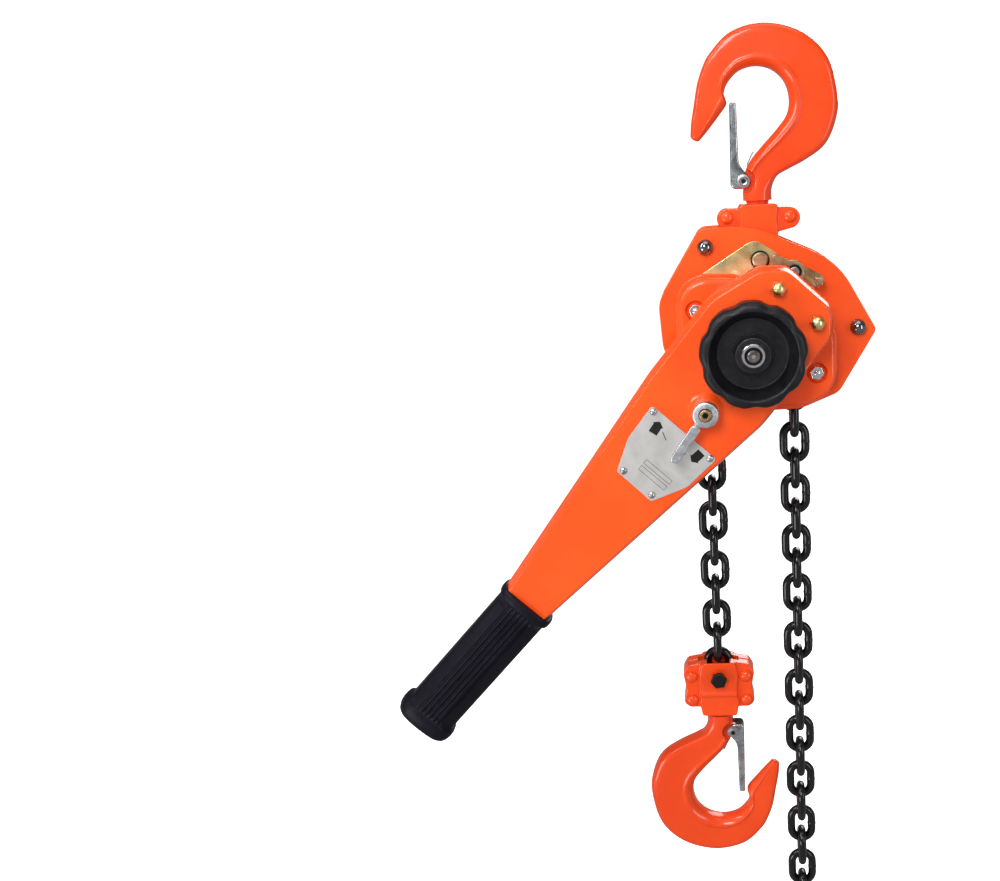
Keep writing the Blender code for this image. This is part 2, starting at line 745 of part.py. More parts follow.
def build_lever():
    body = pivot("lever_axis", AXIS_X, 0, AXIS_Z)
    outer = lever_outline()
    inner = offset(outer, LEVER_WALL)
    bolts = [circle(*on_lever(s, t), 2.3 + GAP) for s, t in LEVER_BOLTS.values()]
    selector = circle(*on_lever(SELECTOR_S, SELECTOR_T), 3.5 + GAP)
    hub = circle(AXIS_X, AXIS_Z, 11.0 + 2 * GAP)
    seam = GAP / 2
    for name, low, high, cavity in (
        ("front", LEVER_FRONT, LEVER_SPLIT - seam, (LEVER_FRONT + LEVER_WALL, LEVER_SPLIT + 1)),
        ("rear", LEVER_SPLIT + seam, LEVER_BACK, (LEVER_SPLIT - 1, LEVER_BACK - LEVER_WALL)),
    ):
        shell = piece(
            f"lever_{name}", slab(to_world(outer), low, high, [hub, selector, *bolts]), ORANGE, body
        )
        cut(shell, slab(to_world(inner), *cavity))
    for name, (s, t) in LEVER_BOLTS.items():
        x, z = on_lever(s, t)
        bolt = piece(f"lever_bolt_{name}", rod(x, z, -76.0, LEVER_BACK + 2.4, 2.3), GOLD, body)
        join(bolt, hexagon(x, z, 8.0, LEVER_BACK + GAP, LEVER_BACK + 1.8))
        face = LEVER_FRONT - GAP
        join(bolt, hexagon(x, z, 10.0, face - 3.4, face))
        join(bolt, dome(x, z, 4.8, 5.0, face - 3.0))

    plate = [(79.0, -29.5), (79.0, 32.0), (110.0, 30.5), (135.0, 18.5), (134.0, -15.5), (108.0, -28.0)]
    front = LEVER_FRONT - GAP
    piece("name_plate", slab(to_world(plate), front - 0.6, front), ALLOY, body)

    turn = lever_matrix()
    middle = (LEVER_FRONT + LEVER_BACK) / 2

    def bar(s0, s1, half_width, half_depth, corner):
        bm = bmesh.new()
        bmesh.ops.create_cube(bm, size=1.0)
        bmesh.ops.scale(bm, vec=(s1 - s0, 2 * half_depth, 2 * half_width), verts=bm.verts)
        along = [e for e in bm.edges if abs(e.verts[0].co.x - e.verts[1].co.x) > 1]
        bmesh.ops.bevel(bm, geom=along, offset=corner, segments=3, affect="EDGES", profile=0.5)
        bmesh.ops.translate(bm, vec=((s0 + s1) / 2, middle, 0.5), verts=bm.verts)
        bmesh.ops.transform(bm, matrix=turn, verts=bm.verts)
        return mesh_of(bm)

    grip = piece("grip", bar(279.0, 392.0, 21.8, 16.5, 8.0), RUBBER, body)
    join(grip, bar(266.0, 280.0, 24.5, 18.5, 6.0))
    join(grip, bar(389.0, 409.0, 25.5, 18.5, 7.0))
    pocket = [(250.0, -23.7), (305.0, -16.8), (305.0, 16.4), (250.0, 22.2)]
    cut(grip, slab(to_world(pocket), LEVER_FRONT - GAP, LEVER_BACK + GAP))
    return body


def build_selector():
    x, z = on_lever(SELECTOR_S, SELECTOR_T)
    body = pivot("selector_axis", x, 0, z)
    post = rod(x, z, -84.5, -47.9, 3.5)
    pawl = piece("change_pawl", post, STEEL, body)
    reach = 35.6
    tips = [
        (SELECTOR_S + 5.0, SELECTOR_T - 5.5),
        (SELECTOR_S - reach + 2.0, SELECTOR_T - 13.0),
        (SELECTOR_S - reach + 3.8, SELECTOR_T - 8.5),
        (SELECTOR_S - 24.0, SELECTOR_T),
        (SELECTOR_S - reach + 3.8, SELECTOR_T + 8.5),
        (SELECTOR_S - reach + 2.0, SELECTOR_T + 13.0),
        (SELECTOR_S + 5.0, SELECTOR_T + 5.5),
    ]
    join(pawl, slab(to_world(tips), -64.0, -53.0))
    disc = piece("selector_lever", turned(x, z, [
        (3.5 + GAP, 88.2),
        (8.4, 88.2),
        (10.0, 86.6),
        (10.0, 83.0),
        (8.6, 72.9),
        (3.5 + GAP, 72.9),
    ]), ZINC, body)
    s0, t0 = SELECTOR_S + 7.0, SELECTOR_T
    arm = [(s0, t0 - 3.3), (SELECTOR_S + 40.0, t0 - 0.3), (SELECTOR_S + 40.0, t0 + 5.7), (s0, t0 + 3.3)]
    join(disc, slab(to_world(arm), -87.2, -82.4))


# Hooks and their holders -------------------------------------------------------------


def hook_mesh(place):
    """A forged hook lofted from oval sections, inner edge to outer edge, shank to tip."""
    stations = [
        ((-11.0, -99.0), (11.0, -99.0), 11.0),
        ((-11.0, -91.0), (11.3, -90.0), 11.0),
        ((-9.5, -79.0), (15.5, -81.5), 10.5),
        ((-4.6, -69.0), (23.5, -77.0), 10.5),
        ((4.5, -58.5), (38.0, -70.0), 10.5),
        ((15.5, -47.0), (52.5, -59.5), 10.5),
        ((23.5, -36.5), (60.5, -42.5), 10.5),
        ((25.5, -25.0), (62.3, -24.0), 10.5),
        ((22.0, -12.5), (57.5, 5.5), 10.5),
        ((12.8, -3.3), (38.5, 24.8), 10.5),
        ((0.0, 0.0), (9.0, 31.0), 10.0),
        ((-12.5, -3.3), (-17.5, 26.5), 9.5),
        ((-21.5, -12.5), (-34.5, 11.5), 8.5),
        ((-25.0, -25.0), (-43.0, -9.0), 7.5),
        ((-30.5, -36.0), (-45.8, -25.0), 6.5),
        ((-38.0, -47.0), (-48.0, -40.0), 5.5),
        ((-43.0, -52.5), (-48.3, -50.0), 4.0),
    ]
    sides = 12
    bm = bmesh.new()
    rings = []
    for inner, outer, depth in stations:
        centre = (Vector(inner) + Vector(outer)) / 2
        half = (Vector(outer) - Vector(inner)) / 2
        ring = []
        for k in range(sides):
            angle = 2 * pi * k / sides
            across = centre + half * cos(angle)
            ring.append(bm.verts.new(place @ Vector((across.x, depth * sin(angle), across.y))))
        rings.append(ring)
    for first, second in zip(rings, rings[1:]):
        for k in range(sides):
            after = (k + 1) % sides
            bm.faces.new((first[k], first[after], second[after], second[k]))
    bm.faces.new(rings[0])
    bm.faces.new(rings[-1])
    return mesh_of(bm)


def moved(mesh, place):
    mesh.transform(place)
    return mesh


def build_hook(name, place, body):
    """A hook with its head, its latch, and the latch's pin and spring."""
    hook = piece(f"{name}_hook", hook_mesh(place), ORANGE, body)
    shank = [
        (0, -97.0),
        (NECK_RADIUS, -97.0),
        (NECK_RADIUS, -HEAD_TOP),
        (HEAD_RADIUS, -HEAD_TOP),
        (HEAD_RADIUS, -HEAD_END),
        (0, -HEAD_END),
    ]
    join(hook, moved(turned(0, 0, shank, upright=True), place))
    join(hook, moved(rod(LATCH_X, LATCH_Z, -4.6, -0.6, 5.0), place))
    cut(hook, moved(rod(LATCH_X, LATCH_Z, -9.0, 9.0, 2.0 + GAP), place))
    cut(hook, moved(rod(LATCH_X, LATCH_Z, -0.6, 20.0, 8.2), place))
    cut(hook, moved(rod(LATCH_X, LATCH_Z, -20.0, -4.6, 8.2), place))

    corner = place @ Vector((LATCH_X, 0, LATCH_Z))
    latch_body = pivot(f"{name}_latch_axis", *corner)
    side = rounded(
        [
            (-16.8, -26.6, 0.5),
            (-14.8, -26.6, 0.5),
            (-13.2, -71.0, 8),
            (-7.0, -79.0, 4),
            (-5.0, -90.2, 6),
            (-18.2, -90.2, 3),
        ]
    )
    latch = piece(f"{name}_latch", moved(slab(side, -6.9, 6.9), place), ZINC, latch_body)
    web = [(-15.2, -20.0), (-16.6, -95.0), (10.0, -95.0), (10.0, -20.0)]
    cut(latch, moved(slab(web, -5.5, 5.5), place))
    cut(latch, moved(rod(LATCH_X, LATCH_Z, -9.0, 9.0, 2.0 + GAP), place))
    pin = piece(f"{name}_latch_pin", moved(rod(LATCH_X, LATCH_Z, -8.2, 8.2, 2.0), place), STEEL, body)
    join(pin, moved(rod(LATCH_X, LATCH_Z, -9.0, -7.2, 3.4), place))

    coil = []
    turns, radius = 2, 3.2
    steps = 7 * turns
    for i in range(steps + 1):
        angle = radians(100) - 2 * pi * i / 7
        depth = 0.6 + 3.4 * i / steps
        coil.append((LATCH_X + radius * cos(angle), depth, LATCH_Z + radius * sin(angle)))
    path = [(LATCH_X - 0.5, 0.6, LATCH_Z + 8.5), *coil, (LATCH_X + 3.0, 4.2, LATCH_Z + 5.0)]
    piece(f"{name}_latch_spring", moved(wire(path, 0.45), place), STEEL, body)
    return latch_body


def holder_cavity(place):
    """The room for a hook's neck and head, turned about the shank."""
    neck, head = NECK_RADIUS + GAP, HEAD_RADIUS + GAP
    profile = [
        (0, -95.0),
        (neck, -95.0),
        (neck, GAP - HEAD_TOP),
        (head, GAP - HEAD_TOP),
        (head, -HEAD_END - GAP),
        (0, -HEAD_END - GAP),
    ]
    return moved(turned(0, 0, profile, upright=True), place)


def build_yoke():
    body = pivot("yoke_axis", 0, 0, PIN_Z)
    outline = rounded(
        [
            (-15.5, -101.4, 1.5),
            (15.5, -101.4, 1.5),
            (17.5, -103.0, 3),
            (32.5, -106.0, 8),
            (30.5, -119.0, 7),
            (16.0, -124.0, 8),
            (11.0, -154.0, 10.5),
            (-11.0, -154.0, 10.5),
            (-16.0, -122.0, 8),
            (-30.5, -117.0, 7),
            (-32.5, -104.0, 8),
            (-17.5, -103.0, 3),
        ]
    )
    rivets = {"left": (-24.0, -110.8), "right": (24.0, -111.8)}
    holes = [circle(x, z, 3.0 + GAP) for x, z in rivets.values()]
    holes.append(circle(0, PIN_Z, 6.0 + GAP))
    for name, low, high in (("front", -HOLDER_HALF, -GAP / 2), ("rear", GAP / 2, HOLDER_HALF)):
        half = piece(f"yoke_{name}", slab(outline, low, high, holes), ORANGE, body)
        cut(half, holder_cavity(Matrix()))
    for name, (x, z) in rivets.items():
        piece(f"yoke_rivet_{name}", rivet(x, z, 3.0, 4.6, 3.4, HOLDER_HALF + GAP), ORANGE, body)
    hook_body = pivot("top_hook_axis", 0, 0, 0)
    build_hook("top", Matrix(), hook_body)


def build_block(load):
    """The bottom block's halves, which clamp the last link's bolt and the bottom hook's head."""
    body = pivot("block_axis", LOAD_X, 0, BOLT_Z)
    place = Matrix.Translation((LOAD_X, 0, BOTTOM_BEARING)) @ Matrix.Rotation(pi, 4, "Y")
    corners = [
        (-15.5, 16.0, 3),
        (15.5, 16.0, 3),
        (29.5, 13.0, 6),
        (30.5, -23.0, 6),
        (17.0, -26.5, 3),
        (15.5, BLOCK_BOTTOM - BOLT_Z, 2),
        (-15.5, BLOCK_BOTTOM - BOLT_Z, 2),
        (-17.0, -26.5, 3),
        (-30.5, -23.0, 6),
        (-29.5, 13.0, 6),
    ]
    outline = [(LOAD_X + x, BOLT_Z + z) for x, z in rounded(corners)]
    spots = {"upper_left": (-23, 3.5), "upper_right": (23, 3.5), "lower_left": (-23, -18), "lower_right": (23, -18)}
    rivets = {name: (LOAD_X + x, BOLT_Z + z) for name, (x, z) in spots.items()}
    holes = [circle(x, z, 2.6 + GAP) for x, z in rivets.values()]
    holes.append(circle(LOAD_X, BOLT_Z, 3.9 + 2 * GAP))
    for name, low, high in (("front", -HOLDER_HALF, -GAP / 2), ("rear", GAP / 2, HOLDER_HALF)):
        half = piece(f"block_{name}", slab(outline, low, high, holes), ORANGE, body)
        cut(half, holder_cavity(place))
        slot = block((LOAD_X - 17.4, -4.3, BOLT_Z - 15.5), (LOAD_X + 17.4, 4.3, BOLT_Z + 20.0))
        cut(half, slot)
        cut(half, block((LOAD_X - 9.6, -12.8, BOLT_Z + 7.0), (LOAD_X + 9.6, 12.8, BOLT_Z + 20.0)))
    for name, (x, z) in rivets.items():
        piece(f"block_rivet_{name}", rivet(x, z, 2.6, 5.2, 3.4, HOLDER_HALF + GAP), ORANGE, body)
    hook_body = pivot("bottom_hook_axis", LOAD_X, 0, BOTTOM_BEARING)
    build_hook("bottom", place, hook_body)


# Assembly ----------------------------------------------------------------------------


def clear_scene():
    for obj in list(bpy.data.objects):
        bpy.data.objects.remove(obj)


clear_scene()
parts = new_collection("lever_chain_hoist")
cutters = new_collection("cutters", hidden=True)
load_run = build_chain()
build_sheave()
build_frame()
build_gear_cover()
drive_axis = build_gears()
build_brake(drive_axis)
build_wheel(drive_axis)
build_lever()
build_selector()
build_yoke()
build_block(load_run)
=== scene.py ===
"""The looks of a lever chain hoist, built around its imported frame.

Shapes are written in millimetres, in the CAD model's axes: +X right, +Y away from the viewer,
+Z up, with the origin at the top hook's bearing point. Places come from the CAD nodes' boxes.
"""

from math import atan2, ceil, cos, degrees, exp, hypot, pi, radians, sin, tan

import bmesh
import bpy
from mathutils import Matrix, Vector


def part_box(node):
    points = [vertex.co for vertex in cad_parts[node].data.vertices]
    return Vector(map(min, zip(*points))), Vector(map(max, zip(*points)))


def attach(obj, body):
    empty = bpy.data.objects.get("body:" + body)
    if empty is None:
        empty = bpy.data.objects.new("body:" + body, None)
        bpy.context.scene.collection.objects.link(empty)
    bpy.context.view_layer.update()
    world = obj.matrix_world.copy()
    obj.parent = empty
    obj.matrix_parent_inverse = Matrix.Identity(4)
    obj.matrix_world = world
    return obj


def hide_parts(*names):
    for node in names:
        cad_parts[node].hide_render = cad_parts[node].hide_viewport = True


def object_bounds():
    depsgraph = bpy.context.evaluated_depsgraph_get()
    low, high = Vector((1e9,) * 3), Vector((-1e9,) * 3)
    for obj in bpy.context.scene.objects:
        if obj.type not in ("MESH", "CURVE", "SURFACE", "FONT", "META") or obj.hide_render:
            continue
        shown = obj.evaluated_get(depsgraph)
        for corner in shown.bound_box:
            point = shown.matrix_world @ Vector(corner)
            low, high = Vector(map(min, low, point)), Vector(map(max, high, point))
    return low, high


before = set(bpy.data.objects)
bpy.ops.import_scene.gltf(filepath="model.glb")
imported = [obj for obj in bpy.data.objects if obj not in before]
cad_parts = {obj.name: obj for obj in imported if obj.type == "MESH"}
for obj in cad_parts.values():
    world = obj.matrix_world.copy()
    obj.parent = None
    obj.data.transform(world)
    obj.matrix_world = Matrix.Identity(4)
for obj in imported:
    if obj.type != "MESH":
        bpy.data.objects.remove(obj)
cad_low, cad_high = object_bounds()

MM = 0.001


def centre_of(node):
    """The X and Z of a CAD node's middle."""
    low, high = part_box(node)
    middle = (low + high) / 2 / MM
    return middle.x, middle.z


# The drive axis, the yoke's pin, the load chain's bolt and the tail chain
AXIS = AXIS_X, AXIS_Z = centre_of("wheel_nut")
PIN = (0, centre_of("yoke_pin")[1])
BOLT = LOAD_X, BOLT_Z = centre_of("anchor_bolt")
TAIL_X = centre_of("tail_ring")[0]
BLOCK_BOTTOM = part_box("block_front")[0].z / MM

# The lever's way in the XZ plane, and faces along Y
LEVER_ANGLE = radians(226.9)
PLATE_IN, PLATE_OUT = 14.6, 18.6
COVER_FRONT, PAWL_PLATE_BACK, PAWL_PLATE_THICK = -41.4, -18.9, 2.4
LEVER_FRONT, LEVER_SPLIT, LEVER_BACK = -72, -59, -46
HOLDER_HALF = 14.2

# Half the seam between two shells, and the space between a part and what it lies on
SEAM, GAP = 0.15, 0.3

# The selector's pivot, along the lever and across it
SELECTOR = (56, 3)

# Radii of holes that several parts share
PIN_HOLE, POST_HOLE = 6.3, 3.8

# The chain, with one link every 36 degrees round the sheave
PITCH, WIRE, LINK_WIDTH = 21.6, 7, 24.6
TAIL_LINKS, LOAD_LINKS, SHEAVE_LINKS = 25, 14, 5
LINK_ANGLE = radians(36)
CHAIN_RADIUS = PITCH / 2 / tan(pi / 10)

# From a hook's bearing point: its latch's pivot, and down to the face of its holder
LATCH = LATCH_X, LATCH_Z = -10.6, -84
HOLDER_FACE = 101.4
BOTTOM_BEARING = BLOCK_BOTTOM - HOLDER_FACE


# ---- Materials


def set_stops(ramp, stops):
    """Fills a colour ramp with stops of (position, colour)."""
    while len(ramp.elements) < len(stops):
        ramp.elements.new(0.5)
    for element, (position, colour) in zip(ramp.elements, stops):
        element.position = position
        element.color = (*colour, 1)


def spread(*colours):
    """Evenly spaced stops, over the middle of a noise's range."""
    return [(0.3 + 0.4 * k / (len(colours) - 1), colour) for k, colour in enumerate(colours)]


def add_node(tree, kind, inputs=None, **settings):
    """A new shader node. An input is a constant, or the output that feeds it."""
    made = tree.nodes.new("ShaderNode" + kind)
    for key, value in settings.items():
        setattr(made, key, value)
    for socket, value in (inputs or {}).items():
        if isinstance(value, bpy.types.NodeSocket):
            tree.links.new(value, made.inputs[socket])
        else:
            made.inputs[socket].default_value = value
    return made


class Look:
    """A node material and the slot that it belongs to, named as a CAD material is."""

    def __init__(self, name, slot, metallic=0, roughness=0.4, **sockets):
        self.slot = slot
        self.material = bpy.data.materials.new(name)
        self.material.use_nodes = True
        self.tree = self.material.node_tree
        self.shader = self.tree.nodes["Principled BSDF"]
        self.shader.inputs["Metallic"].default_value = metallic
        self.shader.inputs["Roughness"].default_value = roughness
        for socket, value in sockets.items():
            self.shader.inputs[socket.replace("_", " ")].default_value = value
        self.place = self.node("TexCoord").outputs["Object"]

    def node(self, kind, inputs=None, **settings):
        return add_node(self.tree, kind, inputs, **settings)

    def noise(self, scale, detail=3, rough=0.55, vector=None, distortion=0):
        inputs = {"Scale": scale, "Detail": detail, "Roughness": rough, "Distortion": distortion}
        return self.node("TexNoise", {**inputs, "Vector": vector or self.place}).outputs["Fac"]

    def ramp(self, value, stops):
        made = self.node("ValToRGB", {"Fac": value})
        set_stops(made.color_ramp, stops)
        return made.outputs["Color"]

    def between(self, value, low, high, start=0.3, end=0.7):
        """The value's stretch from start to end, brought to low and high."""
        span = {"From Min": start, "From Max": end, "To Min": low, "To Max": high}
        return self.node("MapRange", {**span, "Value": value}).outputs["Result"]

    def mix(self, factor, output, constant):
        """From a linked colour to a constant one."""
        inputs = {"Factor": factor, "A": output, "B": (*constant, 1)}
        return self.node("Mix", inputs, data_type="RGBA").outputs["Result"]

    def feed(self, socket, output):
        self.tree.links.new(output, self.shader.inputs[socket])

    def bump(self, *layers):
        """Layers of (height, depth in mm), one on the other."""
        below = {}
        for height, depth in layers:
            inputs = {"Strength": 1, "Distance": depth * MM, "Height": height}
            normal = self.node("Bump", {**inputs, **below}).outputs["Normal"]
            below = {"Normal": normal}
        self.feed("Normal", normal)
        return self

    # An edge mask, which the hand wheel uses for worn paint and for a painted highlight on its
    # edges
    def wear_and_highlight_edges(self, radius, low, high):
        """How sharply the surface turns within a radius in mm, from 0 on a flat to 1 on an edge."""
        bevel = self.node("Bevel", {"Radius": radius * MM}, samples=4).outputs["Normal"]
        normal = self.node("NewGeometry").outputs["Normal"]
        facing = self.node("VectorMath", {0: bevel, 1: normal}, operation="DOT_PRODUCT")
        return self.between(facing.outputs["Value"], 0, 1, 1 - low, 1 - high)


def painted(name, stops, peel=0.035, grain=None):
    """Powder-coated enamel: three close shades, a fine orange peel and a clear gloss."""
    gloss = {"Coat_Weight": 0.55, "Coat_Roughness": 0.07, "Specular_IOR_Level": 0.25}
    look = Look(name, "orange_enamel", 0, 0.36, **gloss)
    look.feed("Base Color", look.ramp(look.noise(14, 5), stops))
    look.feed("Roughness", look.between(look.noise(60, 4), 0.3, 0.42))
    layers = [(look.noise(420, 2), peel)]
    if grain:
        layers.append((look.noise(110, 4, 0.6), grain))
    return look.bump(*layers)


def plated(name, slot, stops, scale, roughness, spangle=None, metallic=1, depth=0.01):
    """Plated steel: clouds of colour, uneven gloss, fine rolling marks, and maybe spangle."""
    look = Look(name, slot, metallic, 0.3)
    cloud = look.noise(scale, 6, 0.62, distortion=0.6)
    colour = look.ramp(cloud, stops)
    if spangle:
        cells = look.node("TexVoronoi", {"Scale": spangle, "Vector": look.place}).outputs["Color"]
        cell = look.node("SeparateColor", {"Color": cells})
        shade = look.between(cell.outputs["Red"], 0, 0.35, 0, 1)
        colour = look.mix(shade, colour, (0.34, 0.36, 0.4))
    look.feed("Base Color", colour)
    look.feed("Roughness", look.between(look.noise(scale * 3, 4), *roughness))
    drawn = look.node("Mapping", {"Scale": (1, 1, 0.12), "Vector": look.place})
    return look.bump((look.noise(900, 3, vector=drawn.outputs["Vector"]), depth))


def dark_metal(name, slot, stops, metallic, roughness, grains, coat=0):
    """Blackened or cast metal with grain of several sizes."""
    gloss = {"Coat_Weight": coat, "Coat_Roughness": 0.08, "Specular_IOR_Level": 0.3}
    look = Look(name, slot, metallic, 0.4, **gloss)
    look.feed("Base Color", look.ramp(look.noise(40, 6), stops))
    look.feed("Roughness", look.between(look.noise(130, 4), *roughness))
    return look.bump(*((look.noise(scale, 3, 0.6), depth) for scale, depth in grains))


PAINT = painted("orange_paint", spread((0.93, 0.078, 0.003), (0.97, 0.088, 0.005), (1, 0.1, 0.008)))
FORGED = painted(
    "forged_paint", spread((0.78, 0.05, 0.002), (0.83, 0.058, 0.003), (0.88, 0.068, 0.005)),
    0.05, 0.1,
)
CAST_PAINT = painted(
    "cast_paint", spread((0.85, 0.058, 0.002), (0.91, 0.07, 0.004), (0.97, 0.085, 0.006)),
    0.07, 0.22,
)
OXIDE = dark_metal(
    "black_oxide_chain", "black_oxide",
    [(0.3, (0.002, 0.002, 0.0025)), (0.55, (0.004, 0.004, 0.005)), (0.75, (0.01, 0.01, 0.011))],
    0, (0.16, 0.3), [(260, 0.04), (900, 0.012)], 0.35,
)
BOLT_BLACK = dark_metal(
    "black_bolt", "black_oxide", spread((0.012, 0.012, 0.014), (0.035, 0.034, 0.036)),
    0.7, (0.26, 0.45), [(700, 0.02)],
)
DARK_CHROME = dark_metal(
    "dark_chrome", "black_oxide", spread((0.2, 0.2, 0.22), (0.3, 0.3, 0.32)),
    1, (0.06, 0.14), [(500, 0.008)],
)
STEEL = plated(
    "machined_steel", "machined_steel",
    spread((0.36, 0.36, 0.38), (0.5, 0.5, 0.52), (0.6, 0.6, 0.61)),
    70, (0.25, 0.42),
)
ZINC = plated(
    "bright_zinc", "bright_zinc",
    [(0.3, (0.6, 0.62, 0.66)), (0.5, (0.76, 0.78, 0.82)), (0.72, (0.9, 0.91, 0.94))],
    90, (0.14, 0.3),
)
BRIGHT_ZINC = plated(
    "polished_zinc", "bright_zinc",
    [
        (0.32, (0.1, 0.115, 0.13)), (0.46, (0.34, 0.37, 0.4)),
        (0.54, (0.62, 0.65, 0.68)), (0.68, (0.2, 0.22, 0.24)),
    ],
    34, (0.18, 0.34),
)
GALVANISED = plated(
    "galvanised", "bright_zinc", spread((0.5, 0.52, 0.56), (0.7, 0.72, 0.75), (0.86, 0.88, 0.9)),
    160, (0.28, 0.5), spangle=420, depth=0.03,
)
GOLD = plated(
    "yellow_zinc", "yellow_zinc",
    [
        (0.24, (0.42, 0.26, 0.12)), (0.38, (0.74, 0.56, 0.2)), (0.5, (0.9, 0.72, 0.34)),
        (0.6, (0.92, 0.84, 0.5)), (0.72, (0.84, 0.6, 0.42)),
    ],
    38, (0.22, 0.42),
)
AGED = plated(
    "brown_zinc", "yellow_zinc",
    [
        (0.26, (0.2, 0.12, 0.06)), (0.42, (0.4, 0.27, 0.13)), (0.52, (0.56, 0.4, 0.22)),
        (0.64, (0.68, 0.52, 0.33)), (0.78, (0.4, 0.32, 0.2)),
    ],
    60, (0.26, 0.48),
)
PIN_STEEL = plated(
    "darkened_steel", "machined_steel",
    spread((0.14, 0.12, 0.11), (0.24, 0.21, 0.2), (0.34, 0.31, 0.3)),
    120, (0.22, 0.4),
)
ALLOY = plated(
    "brushed_alloy", "brushed_alloy",
    spread((0.5, 0.49, 0.475), (0.57, 0.56, 0.545), (0.62, 0.61, 0.6)),
    55, (0.42, 0.56), metallic=0.5,
)
LINING = dark_metal(
    "friction_lining", "friction_lining",
    spread((0.12, 0.09, 0.07), (0.2, 0.15, 0.12), (0.3, 0.22, 0.14)),
    0, (0.7, 0.9), [(500, 0.12)],
)
INK = dark_metal(
    "black_print", "black_cast", spread((0.006, 0.006, 0.007), (0.012, 0.012, 0.013)),
    0, (0.4, 0.55), [(800, 0.01)],
)


def cast_wheel_look():
    look = Look("black_cast_wheel", "black_cast", 0.2, 0.5, Specular_IOR_Level=0.4)
    base = look.ramp(look.noise(50, 6), spread((0.004, 0.004, 0.0055), (0.012, 0.012, 0.015)))
    # Painted highlight and wear: the edges are mixed towards a lighter, reddish grey, which stands
    # for worn paint and for the highlight along the rim
    edge_wear_and_highlight = look.wear_and_highlight_edges(0.9, 0.02, 0.3)
    look.feed("Base Color", look.mix(edge_wear_and_highlight, base, (0.1, 0.085, 0.09)))
    look.feed("Roughness", look.between(look.noise(200, 4), 0.34, 0.52))
    return look.bump((look.noise(650, 3, 0.65), 0.16), (look.noise(170, 3), 0.12))


def rubber_look():
    look = Look("grip_rubber", "black_rubber", 0, 0.5, Specular_IOR_Level=0.15)
    blacks = spread((0.003, 0.003, 0.0065), (0.007, 0.006, 0.012))
    look.feed("Base Color", look.ramp(look.noise(30, 5), blacks))
    look.feed("Roughness", look.between(look.noise(90, 5), 0.36, 0.52))
    return look.bump((look.noise(1500, 2), 0.04), (look.noise(60, 3), 0.1))


WHEEL = cast_wheel_look()
RUBBER = rubber_look()


# ---- Outlines and meshes, all in millimetres


def polar(x, z, radius, angle):
    return x + radius * cos(angle), z + radius * sin(angle)


def unit(value):
    """A value held between 0 and 1."""
    return min(1, max(0, value))


def rectangle(x0, z0, x1, z1):
    return [(x0, z0), (x1, z0), (x1, z1), (x0, z1)]


def both_sides(half):
    """Corners (x, z, radius) of the right side, from top to bottom, with their mirror images."""
    left = [(-x, z, radius) for x, z, radius in half]
    return left[:1] + half + left[:0:-1]


def quarter(radius, foot, height, steps=8):
    """Rows (radius, y) of a round head, from its rim at y=foot up to just before its top."""
    angles = [pi / 2 * k / steps for k in range(steps)]
    return [(radius * cos(angle), foot + height * sin(angle)) for angle in angles]


def flipped(rows):
    """The same rows on the other side of y=0."""
    return [(radius, -y) for radius, y in reversed(rows)]


def rounded(corners, step=6):
    """An outline from corners (x, z, radius), with an arc of that radius at each corner."""
    outline = []
    for i, (x, z, radius) in enumerate(corners):
        before, after = Vector(corners[i - 1][:2]), Vector(corners[(i + 1) % len(corners)][:2])
        here = Vector((x, z))
        back, ahead = (before - here).normalized(), (after - here).normalized()
        turn = pi - back.angle(ahead)
        if radius <= 0 or turn < 1e-3:
            outline.append((x, z))
            continue
        reach = radius * tan(turn / 2)
        centre = here + (back + ahead).normalized() * hypot(reach, radius)
        first = here + back * reach - centre
        last = here + ahead * reach - centre
        start = atan2(first.y, first.x)
        sweep = (atan2(last.y, last.x) - start + pi) % (2 * pi) - pi
        count = max(2, ceil(abs(degrees(sweep)) / step))
        for k in range(count + 1):
            outline.append(polar(centre.x, centre.y, radius, start + sweep * k / count))
    return outline


def circle(x, z, radius, points=40, start=0):
    return [polar(x, z, radius, start + 2 * pi * i / points) for i in range(points)]


def hexagon(x, z, across_flats, start=0):
    radius = across_flats / 2 / cos(pi / 6)
    corners = circle(x, z, radius, 6, pi / 6 + start)
    return rounded([(*corner, 0.5) for corner in corners], 20)


def soften(points, radius, closed=True, steps=3):
    """A polyline whose corners are cut back by radius and rounded."""
    result = []
    for i, point in enumerate(points):
        if not closed and i in (0, len(points) - 1):
            result.append(point)
            continue
        here = Vector(point)
        ways = [Vector(points[i - 1]) - here, Vector(points[(i + 1) % len(points)]) - here]
        first, last = (here + way.normalized() * min(radius, 0.42 * way.length) for way in ways)
        for k in range(steps + 1):
            t = k / steps
            result.append(tuple(first * (1 - t) ** 2 + here * 2 * t * (1 - t) + last * t * t))
    return result


def shifted(outline, inset):
    """An outline moved in by inset all round, or out where inset is negative."""
    count = len(outline)
    area = sum(
        outline[i - 1][0] * outline[i][1] - outline[i][0] * outline[i - 1][1] for i in range(count)
    )
    side = 1 if area > 0 else -1
    result = []
    for i in range(count):
        here = Vector(outline[i])
        before = (here - Vector(outline[i - 1])).normalized()
        after = (Vector(outline[(i + 1) % count]) - here).normalized()
        normals = [Vector((-way.y, way.x)) * side for way in (before, after)]
        middle = (normals[0] + normals[1]).normalized()
        stretch = 1 / max(0.5, middle.dot(normals[0]))
        result.append(tuple(here + middle * inset * stretch))
    return result


def bridge(bm, rings, closed=False):
    """Faces from each ring of vertices to the next. A ring of one vertex is a tip."""
    pairs = list(zip(rings, rings[1:]))
    if closed:
        pairs.append((rings[-1], rings[0]))
    for first, second in pairs:
        a, b = len(first), len(second)
        for k in range(max(a, b)):
            corners = first[(k - 1) % a], first[k % a], second[k % b], second[(k - 1) % b]
            bm.faces.new(tuple(dict.fromkeys(corners)))


def finished(bm):
    mesh = bpy.data.meshes.new("shape")
    bmesh.ops.recalc_face_normals(bm, faces=bm.faces)
    bm.to_mesh(mesh)
    bm.free()
    return mesh


